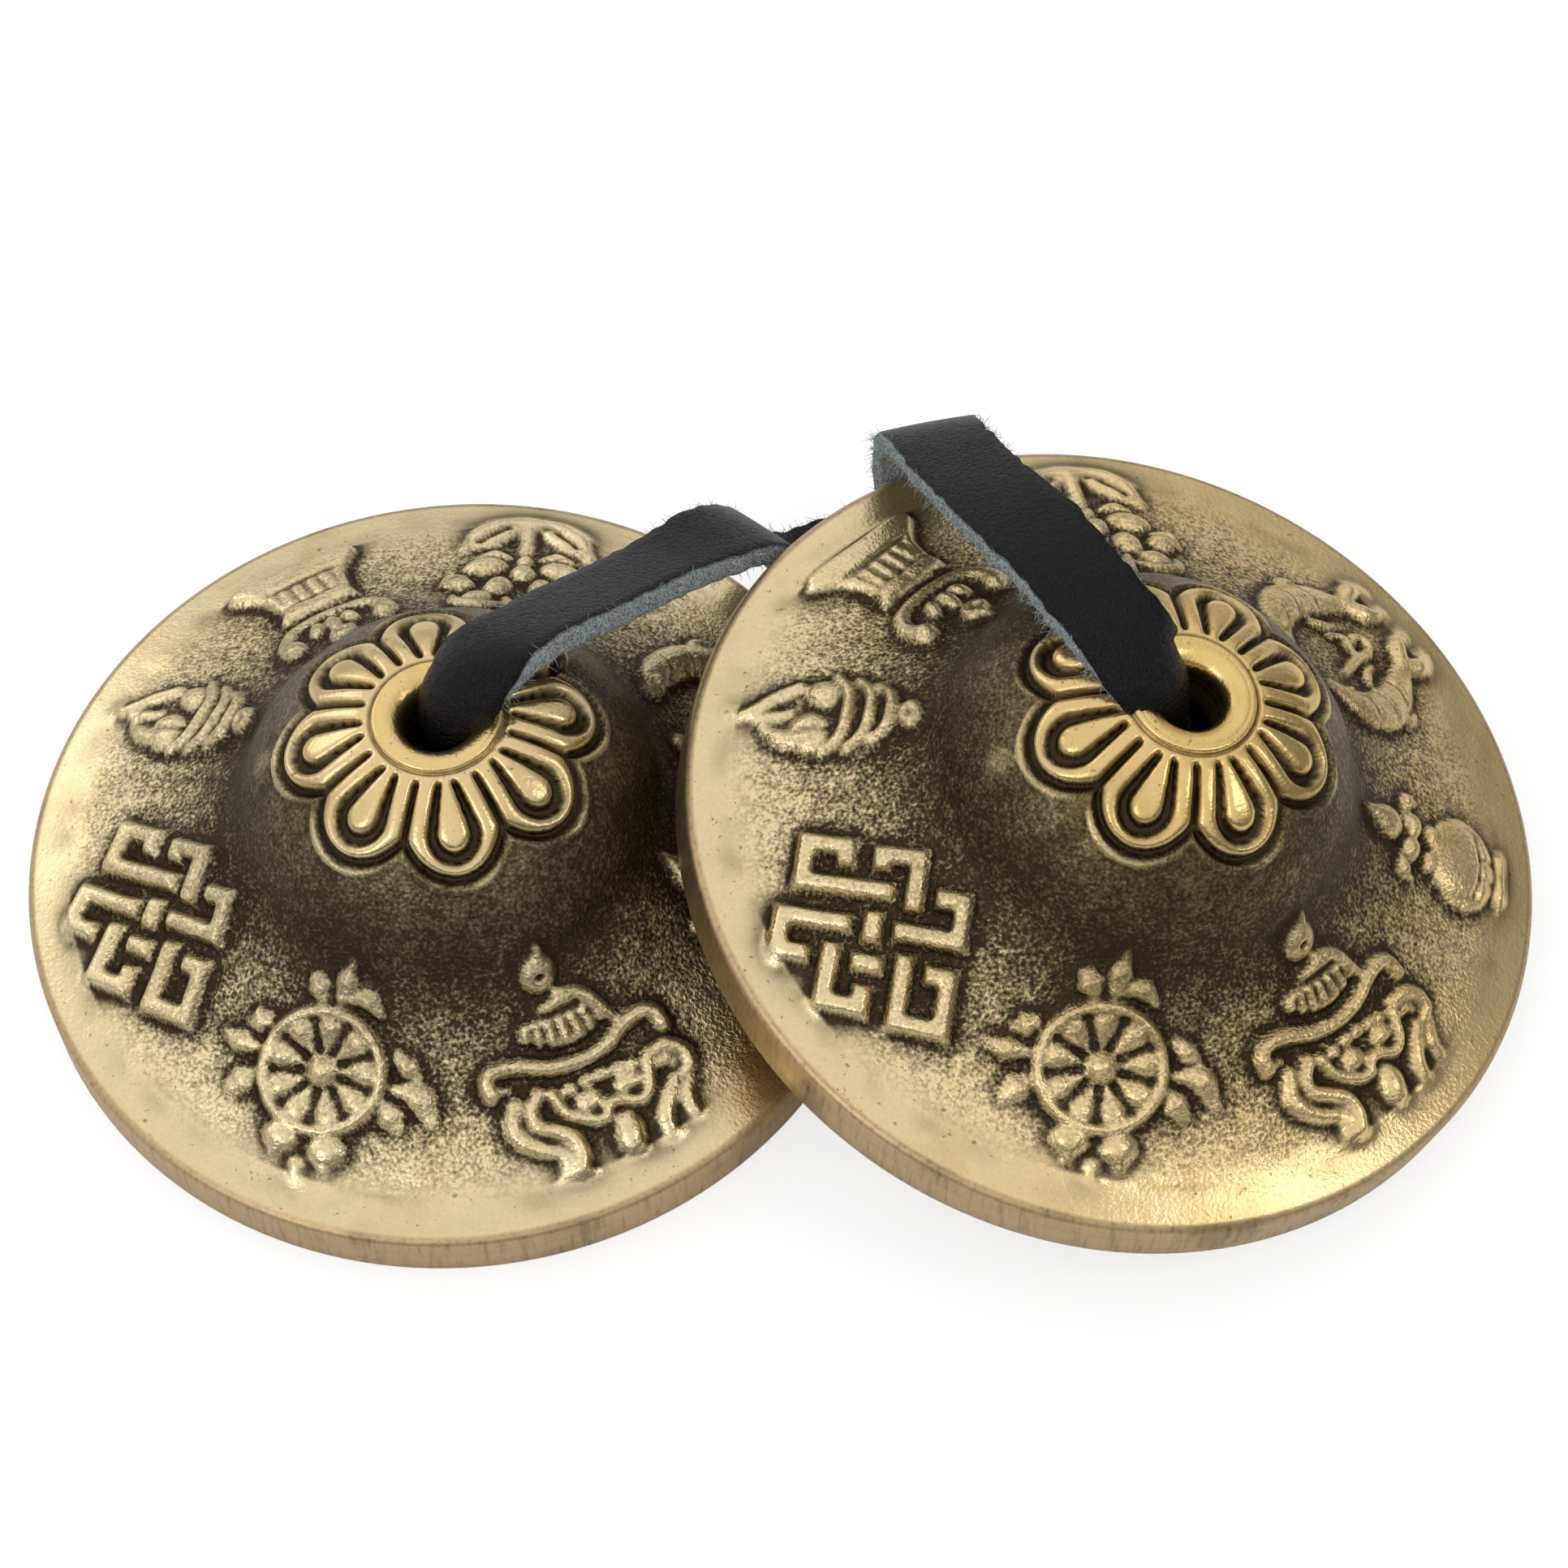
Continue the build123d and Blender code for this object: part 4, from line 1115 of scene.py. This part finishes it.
def strap_leather(look):
    """Black dyed leather: wrinkled grain on the face, blue-grey nap on the cut edges."""
    paint = Paint(bpy.data.materials.new("strap_leather"))
    place = paint.object_place()
    nap = paint.attribute("nap")
    wrinkle = paint.cells(place, 2600.0)
    pores = paint.noise(place, 2600.0, 2.0, 0.6)
    fibres = paint.noise(place, 5200.0, 3.0, 0.7)
    rough_edge = (nap + (fibres - 0.5) * nap * 0.6).clamped()
    scuffs = paint.noise(place, 900.0, 3.0, 0.6).step(0.6, 0.75)
    face = paint.blend(scuffs * 0.25, look.leather, look.scuffed)
    flesh = paint.blend(fibres.step(0.35, 0.62), look.deep_flesh, look.flesh)
    normal = paint.bump(wrinkle.step(0.0, 0.12) * (1 - nap), 0.00008, 0.6)
    normal = paint.bump(pores * (1 - nap), 0.0002, 0.9, normal)
    normal = paint.bump(fibres * nap, 0.0002, 0.8, normal)
    return paint.finish(
        Base_Color=paint.blend(rough_edge, face, flesh),
        Roughness=0.3 + 0.6 * nap + 0.1 * pores,
        Specular_IOR_Level=0.18,
        Normal=normal,
    )


def route_samples(route, count):
    """Even points along the smooth line that a route's points control."""
    curve = bpy.data.curves.new("route", "CURVE")
    curve.dimensions = "3D"
    curve.resolution_u = 16
    spline = curve.splines.new("NURBS")
    spline.points.add(len(route) - 1)
    for point, (x, y, z) in zip(spline.points, route):
        point.co = (x * MM, y * MM, z * MM, 1.0)
    spline.order_u = 3
    spline.use_endpoint_u = True
    holder = bpy.data.objects.new("route", curve)
    bpy.context.scene.collection.objects.link(holder)
    bpy.context.view_layer.update()
    mesh = bpy.data.meshes.new_from_object(holder)
    line = np.array([vertex.co for vertex in mesh.vertices])
    bpy.data.objects.remove(holder)
    bpy.data.curves.remove(curve)
    bpy.data.meshes.remove(mesh)
    travel = np.concatenate([[0.0], np.cumsum(np.linalg.norm(np.diff(line, axis=0), axis=1))])
    even = np.linspace(0.0, travel[-1], count)
    return np.stack([np.interp(even, travel, line[:, k]) for k in range(3)], 1), even


# Points across a face and through a cut edge, how far they reach, and how rough the back is
FACE_POINTS = 9
EDGE_POINTS = 3
FACE_REACH = 0.97
EDGE_REACH = 0.6
BACK_NAP = 0.9
# Half angles in radians of the flattest and the tightest curl
FLATTEST = 0.05
TIGHTEST = 2.8


def strap_section():
    """Places across (-1 to 1), through (-1 to 1) and nap (0 to 1) round the strap's section."""
    across = np.linspace(-FACE_REACH, FACE_REACH, FACE_POINTS)
    through = np.linspace(EDGE_REACH, -EDGE_REACH, EDGE_POINTS)
    face = [(a, 1.0, 0.0) for a in across]
    right = [(1.0, t, 1.0) for t in through]
    back = [(a, -1.0, BACK_NAP) for a in across[::-1]]
    left = [(-1.0, -t, 1.0) for t in through]
    return np.array(face + right + back + left)


def strap_frames(line, azimuths, roll):
    """Directions of the width and the face along a line, from the width's azimuths and its roll."""
    tangent = unit(np.gradient(line, axis=0))
    width = np.stack([np.cos(azimuths), np.sin(azimuths), np.zeros(len(line))], 1)
    width = unit(width - np.sum(width * tangent, axis=1)[:, None] * tangent)
    face = np.cross(width, tangent)
    c, s = np.cos(roll)[:, None], np.sin(roll)[:, None]
    return width * c + face * s, face * c - width * s


def curl_angle(narrowing):
    """Half angle of an arc whose chord is this share of its length."""
    angles = np.linspace(FLATTEST, TIGHTEST, 200)
    return np.interp(-np.asarray(narrowing), -np.sin(angles) / angles, angles)


def ribbon(name, line, frames, width, thickness, curl):
    """Closed mesh of a strap along a line, curled to its flesh side through a half angle."""
    section = strap_section()
    rings, count = len(section), len(line)
    width_way, face_way = frames
    half = np.maximum(np.broadcast_to(curl, (count,)), FLATTEST)[:, None]
    radius = np.broadcast_to(width, (count,))[:, None] / 2 / half
    turn = section[None, :, 0] * half
    reach = radius + section[None, :, 1] * thickness / 2
    side = reach * np.sin(turn)
    lift = reach * np.cos(turn) - radius
    points = line[:, None, :] + side[..., None] * width_way[:, None, :]
    points = points + lift[..., None] * face_way[:, None, :]
    i, j = np.meshgrid(np.arange(count - 1), np.arange(rings), indexing="ij")
    after = (j + 1) % rings
    quads = np.stack([i * rings + j, i * rings + after, (i + 1) * rings + after, (i + 1) * rings + j], -1)
    faces = quads.reshape(-1, 4).tolist()
    faces.append(list(range(rings))[::-1])
    faces.append(list(range((count - 1) * rings, count * rings)))
    mesh = bpy.data.meshes.new(name)
    mesh.from_pydata(points.reshape(-1, 3).tolist(), [], faces)
    mark_points(mesh, "nap", np.tile(section[:, 2], count))
    return mesh


class Strap:
    """A length of strap along its route, curled where it goes through a hole."""

    SAMPLES = 150
    RAGGED = 0.0003
    # Places past the mouth, in metres, where the strap is flat again and where it is fully curled
    UNCURLED = 0.008
    CURLED = -0.0005

    def __init__(self, look, route, turns, rolls, mouth, seed):
        self.look = look
        self.line, self.travel = route_samples(route, self.SAMPLES)
        share = self.travel / self.travel[-1]
        azimuths, roll = np.radians(eased(share, turns)), np.radians(eased(share, rolls))
        self.frames = strap_frames(self.line, azimuths, roll)
        at_mouth = np.argmin(np.linalg.norm(self.line - np.array(mouth), axis=1))
        self.curl = smooth(self.travel - self.travel[at_mouth], self.UNCURLED, self.CURLED)
        rough = np.random.default_rng(seed).normal(0.0, 1.0, self.SAMPLES)
        self.ragged = np.convolve(rough, (0.25, 0.5, 0.25), "same") * self.RAGGED

    def piece(self, name, material):
        """The strap's object, with loose fibres along its cut edges."""
        tightest = curl_angle(self.look.mouth_width / self.look.width)
        width = self.look.width + self.ragged
        mesh = ribbon(name, self.line, self.frames, width, self.look.thickness, self.curl * tightest)
        mesh.materials.append(material)
        return with_fibres(finished(name, mesh), self.look, material)


class GeometryTree(Nodes):
    """A geometry node tree with named inputs."""

    def __init__(self, name):
        super().__init__(bpy.data.node_groups.new(name, "GeometryNodeTree"))
        self.tree.interface.new_socket("Geometry", in_out="OUTPUT", socket_type="NodeSocketGeometry")
        self.entry = self.tree.nodes.new("NodeGroupInput")
        self.exit = self.tree.nodes.new("NodeGroupOutput")

    def input(self, name, kind):
        """A named input of the tree."""
        self.tree.interface.new_socket(name, in_out="INPUT", socket_type="NodeSocket" + kind)
        return self.entry.outputs[name]

    def finish(self, geometry):
        """The tree, giving out this geometry."""
        self.feed(self.exit.inputs[0], geometry)
        return self.tree


# Nap above which an edge counts as cut, and a fibre's lean, turn, least share of the length, tip and seed
CUT_EDGE = 0.97
FIBRE_LEAN = 1.1
FIBRE_TURN = 6.28
SHORTEST_FIBRE = 0.15
FIBRE_TIP = 0.25
FIBRE_SEED = 7


def fibre_tree():
    """Thin loose fibres scattered over the cut edges of a strap, beside the strap itself."""
    tree = GeometryTree("loose_fibres")
    strap = tree.input("Strap", "Geometry")
    length, thickness = tree.input("Length", "Float"), tree.input("Thickness", "Float")
    density, seed = tree.input("Density", "Float"), tree.input("Seed", "Int")
    material = tree.input("Material", "Material")
    nap = tree.node("GeometryNodeInputNamedAttribute", {"data_type": "FLOAT"}, {"Name": "nap"})
    cut_edge = tree.node(
        "FunctionNodeCompare", {"operation": "GREATER_THAN"}, {0: nap.outputs[0], 1: CUT_EDGE}
    )
    scatter = tree.node(
        "GeometryNodeDistributePointsOnFaces",
        None,
        {"Mesh": strap, "Selection": cut_edge.outputs[0], "Density": density, "Seed": seed},
    )
    lean = tree.node(
        "FunctionNodeRandomValue",
        {"data_type": "FLOAT_VECTOR"},
        {0: (-FIBRE_LEAN, -FIBRE_LEAN, 0.0), 1: (FIBRE_LEAN, FIBRE_LEAN, FIBRE_TURN), "Seed": seed},
    )
    leaning = tree.node("FunctionNodeEulerToRotation", None, {0: lean.outputs[0]})
    turned = tree.node(
        "FunctionNodeRotateRotation",
        {"rotation_space": "LOCAL"},
        {0: scatter.outputs["Rotation"], 1: leaning.outputs[0]},
    )
    share = tree.node(
        "FunctionNodeRandomValue", {"data_type": "FLOAT"}, {2: SHORTEST_FIBRE, 3: 1.0, "Seed": seed}
    )
    size = tree.node("ShaderNodeMath", {"operation": "MULTIPLY"}, {0: length, 1: share.outputs[1]})
    scale = tree.node("ShaderNodeCombineXYZ", None, {0: thickness, 1: thickness, 2: size.outputs[0]})
    fibre = tree.node(
        "GeometryNodeMeshCone",
        None,
        {"Vertices": 3, "Radius Top": FIBRE_TIP, "Radius Bottom": 1.0, "Depth": 1.0},
    )
    fibres = tree.node(
        "GeometryNodeInstanceOnPoints",
        None,
        {
            "Points": scatter.outputs[0],
            "Instance": fibre.outputs[0],
            "Rotation": turned.outputs[0],
            "Scale": scale.outputs[0],
        },
    )
    real = tree.node("GeometryNodeRealizeInstances", None, {0: fibres.outputs[0]})
    marked = tree.node(
        "GeometryNodeStoreNamedAttribute",
        {"data_type": "FLOAT", "domain": "POINT"},
        {"Geometry": real.outputs[0], "Name": "nap", "Value": 1.0},
    )
    both = tree.node("GeometryNodeJoinGeometry", None, {0: strap})
    tree.feed(both.inputs[0], marked.outputs[0])
    dressed = tree.node(
        "GeometryNodeSetMaterial", None, {"Geometry": both.outputs[0], "Material": material}
    )
    return tree.finish(dressed.outputs[0])


def with_fibres(piece, look, material):
    """The piece with fibres grown along its cut edges, as a plain mesh."""
    modifier = piece.modifiers.new("fibres", "NODES")
    modifier.node_group = bpy.data.node_groups.get("loose_fibres") or fibre_tree()
    values = {
        "Length": look.fibre_length,
        "Thickness": look.fibre_thickness,
        "Density": look.fibre_density,
        "Seed": FIBRE_SEED,
        "Material": material,
    }
    for socket in modifier.node_group.interface.items_tree:
        if socket.in_out == "INPUT" and socket.name in values:
            modifier[socket.identifier] = values[socket.name]
    bpy.context.view_layer.update()
    mesh = bpy.data.meshes.new_from_object(piece.evaluated_get(bpy.context.evaluated_depsgraph_get()))
    piece.modifiers.remove(modifier)
    piece.data = mesh
    return piece


# Points along the knot and its tail, how far each is curled, and how far the tail leans, in metres
KNOT_POINTS = 121
TAIL_POINTS = 12
KNOT_CURL = 1.2
TAIL_CURL = 0.4
TAIL_LEAN = (0.002, 0.003)


def knot_piece(name, look, material, place):
    """Overhand knot drawn up under a dome, with its cut tail."""
    turn = np.linspace(0.0, 2 * math.pi, KNOT_POINTS)
    x, y = np.cos(2 * turn), np.sin(2 * turn)
    swing, rise = np.cos(3 * turn), np.sin(3 * turn)
    ring = look.knot_ring + look.knot_swell * swing
    line = np.stack([ring * x, ring * y, look.knot_height + look.knot_swell * rise], 1)
    outward = np.stack([x * swing, y * swing, rise], 1)
    tangent = np.gradient(line, axis=0)
    tangent[0] = tangent[-1] = line[1] - line[-2]
    tangent = unit(tangent)
    width = unit(np.cross(tangent, outward))
    frames = (width, np.cross(width, tangent))
    knot = ribbon(name, line, frames, look.knot_band, look.thickness, KNOT_CURL)
    drop = np.linspace(0.0, 1.0, TAIL_POINTS)[:, None]
    tail_line = np.array((0.0, 0.0, look.knot_height)) + drop * np.array((*TAIL_LEAN, -look.tail_length))
    straight = np.zeros(TAIL_POINTS)
    frames = strap_frames(tail_line, straight, straight)
    tail = ribbon("tail", tail_line, frames, look.width, look.thickness, TAIL_CURL)
    points = [place @ vertex.co for mesh in (knot, tail) for vertex in mesh.vertices]
    shift = len(knot.vertices)
    faces = [list(face.vertices) for face in knot.polygons]
    faces += [[k + shift for k in face.vertices] for face in tail.polygons]
    nap = [value.value for mesh in (knot, tail) for value in mesh.attributes["nap"].data]
    bpy.data.meshes.remove(knot)
    bpy.data.meshes.remove(tail)
    mesh = bpy.data.meshes.new(name)
    mesh.from_pydata(points, [], faces)
    mark_points(mesh, "nap", nap)
    mesh.materials.append(material)
    return finished(name, mesh)


class TINGSHA_OT_cymbals(bpy.types.Operator):
    """Cast both cymbals with their rosettes and symbols"""

    bl_idname = "tingsha.cymbals"
    bl_label = "Cast cymbals"

    def execute(self, context):
        look = context.scene.tingsha_cymbal
        material = cast_brass(look)
        cymbal = Cymbal(look)
        for name, place in (("left_cymbal", left_place()), ("right_cymbal", right_place())):
            piece = cymbal.piece(name + "_cast", place)
            piece.data.materials.append(material)
            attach(piece, name)
            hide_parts(name)
        return {"FINISHED"}


def left_place():
    """The left cymbal's frame: flat on the ground."""
    return Matrix.Translation((LEFT_MOUTH.x, LEFT_MOUTH.y, 0.0))


def right_place():
    """The right cymbal's frame: leaning on the left one, with its symbols turned."""
    across = Vector((RIGHT_AXIS.z, 0.0, -RIGHT_AXIS.x)).normalized()
    turn = Matrix((across, RIGHT_AXIS.cross(across), RIGHT_AXIS)).transposed().to_4x4()
    foot = Matrix.Translation(RIGHT_MOUTH - RIGHT_AXIS * COLLAR_TOP)
    return foot @ turn @ Matrix.Rotation(RIGHT_SPIN, 4, "Z")


class TINGSHA_OT_strap(bpy.types.Operator):
    """Thread the strap through both holes"""

    bl_idname = "tingsha.strap"
    bl_label = "Thread strap"

    def execute(self, context):
        look = context.scene.tingsha_strap
        material = strap_leather(look)
        left = Strap(look, LEFT_ROUTE, LEFT_TURNS, LEFT_ROLLS, LEFT_MOUTH, 3)
        right = Strap(look, RIGHT_ROUTE, RIGHT_TURNS, RIGHT_ROLLS, RIGHT_MOUTH, 5)
        left_piece = left.piece("strap_left_leather", material)
        right_piece = right.piece("strap_right_leather", material)
        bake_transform(left_piece)
        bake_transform(right_piece)
        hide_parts("strap_left")
        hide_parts("strap_right", "strap_loop")
        left_knot = knot_piece("left_knot_leather", look, material, left_place())
        right_knot = knot_piece("right_knot_leather", look, material, right_place())
        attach(left_knot, "left_knot")
        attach(right_knot, "strap_right")
        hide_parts("left_knot")
        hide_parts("right_knot")
        return {"FINISHED"}


def aimed(thing, place, target):
    """Puts an object at a place, looking at a target."""
    thing.location = place
    thing.rotation_euler = (Vector(target) - Vector(place)).to_track_quat("-Z", "Y").to_euler()
    bpy.context.scene.collection.objects.link(thing)
    return thing


def softbox(name, place, target, size, power):
    """A large soft lamp."""
    lamp = bpy.data.lights.new(name, "AREA")
    lamp.shape = "RECTANGLE"
    lamp.size, lamp.size_y = size
    lamp.energy = power
    return aimed(bpy.data.objects.new(name, lamp), place, target)


def pale_floor(look):
    """White floor that shows the camera its shadow only faintly."""
    paint = Paint(bpy.data.materials.new("pale_floor"))
    paint.finish(Base_Color=look.floor, Roughness=0.9)
    white = paint.node("ShaderNodeEmission", None, {"Color": WHITE, "Strength": FLOOR_GLOW})
    seen = Term(paint, paint.node("ShaderNodeLightPath").outputs["Is Camera Ray"])
    mixed = paint.node(
        "ShaderNodeMixShader",
        None,
        {0: seen * look.whiteness, 1: paint.shader.outputs[0], 2: white.outputs[0]},
    )
    paint.feed(paint.output.inputs["Surface"], mixed.outputs[0])
    return paint.block


def soft_surround(look):
    """Studio walls: bright overhead and behind, dimmer to the right and dark low in front."""
    paint = Paint(bpy.data.worlds.new("soft_surround"))
    way = paint.node("ShaderNodeTexCoord").outputs["Generated"]
    x, y, z = (paint.axis(way, name) for name in "XYZ")
    front = (0 - y).step(0.25, 0.85) * (1 - z.step(0.1, 0.6))
    level = (0.45 + 0.55 * z.step(0.0, 0.6)) * (1 - 0.6 * x.step(0.2, 0.9)) * (1 - 0.92 * front)
    return paint.finish(Color=paint.blend(level, BLACK, WHITE), Strength=look.sky)


class TINGSHA_OT_stage(bpy.types.Operator):
    """Lay the floor, set the lamps and stand the camera"""

    bl_idname = "tingsha.stage"
    bl_label = "Set stage"

    def execute(self, context):
        look = context.scene.tingsha_stage
        scene = context.scene
        scene.view_settings.view_transform = "Standard"
        bpy.ops.mesh.primitive_plane_add(size=FLOOR_SIZE)
        floor = context.object
        floor.name = "floor"
        floor.data.materials.append(pale_floor(look))
        scene.world = soft_surround(look)
        for name, place, size, power in LAMPS:
            softbox(name, place, LAMP_TARGET, size, getattr(look, power))
        camera = bpy.data.cameras.new("camera")
        camera.lens = look.lens
        camera.sensor_width = SENSOR_WIDTH
        camera.clip_start = NEAREST_SEEN
        stand = bpy.data.objects.new("camera", camera)
        scene.camera = aimed(stand, CAMERA_EYE, CAMERA_EYE + CAMERA_VIEW)
        return {"FINISHED"}


class TINGSHA_PT_panel(bpy.types.Panel):
    """Lists the pieces and their settings"""

    bl_label = "Tingsha"
    bl_idname = "TINGSHA_PT_panel"
    bl_space_type = "VIEW_3D"
    bl_region_type = "UI"
    bl_category = "Tingsha"

    def draw(self, context):
        for operator, settings in OPERATORS:
            self.layout.operator(operator.bl_idname)
            group = getattr(context.scene, settings)
            for name in group.__annotations__:
                self.layout.prop(group, name)


OPERATORS = (
    (TINGSHA_OT_stage, "tingsha_stage"),
    (TINGSHA_OT_strap, "tingsha_strap"),
    (TINGSHA_OT_cymbals, "tingsha_cymbal"),
)
GROUPS = {
    "tingsha_stage": TINGSHA_PG_stage,
    "tingsha_strap": TINGSHA_PG_strap,
    "tingsha_cymbal": TINGSHA_PG_cymbal,
}
CLASSES = (*GROUPS.values(), *(operator for operator, _ in OPERATORS), TINGSHA_PT_panel)


def register():
    for cls in CLASSES:
        bpy.utils.register_class(cls)
    for name, group in GROUPS.items():
        setattr(bpy.types.Scene, name, bpy.props.PointerProperty(type=group))


def unregister():
    for name in GROUPS:
        delattr(bpy.types.Scene, name)
    for cls in reversed(CLASSES):
        bpy.utils.unregister_class(cls)


def main():
    register()
    bpy.ops.tingsha.stage()
    bpy.ops.tingsha.strap()
    bpy.ops.tingsha.cymbals()


if __name__ == "__main__":
    main()
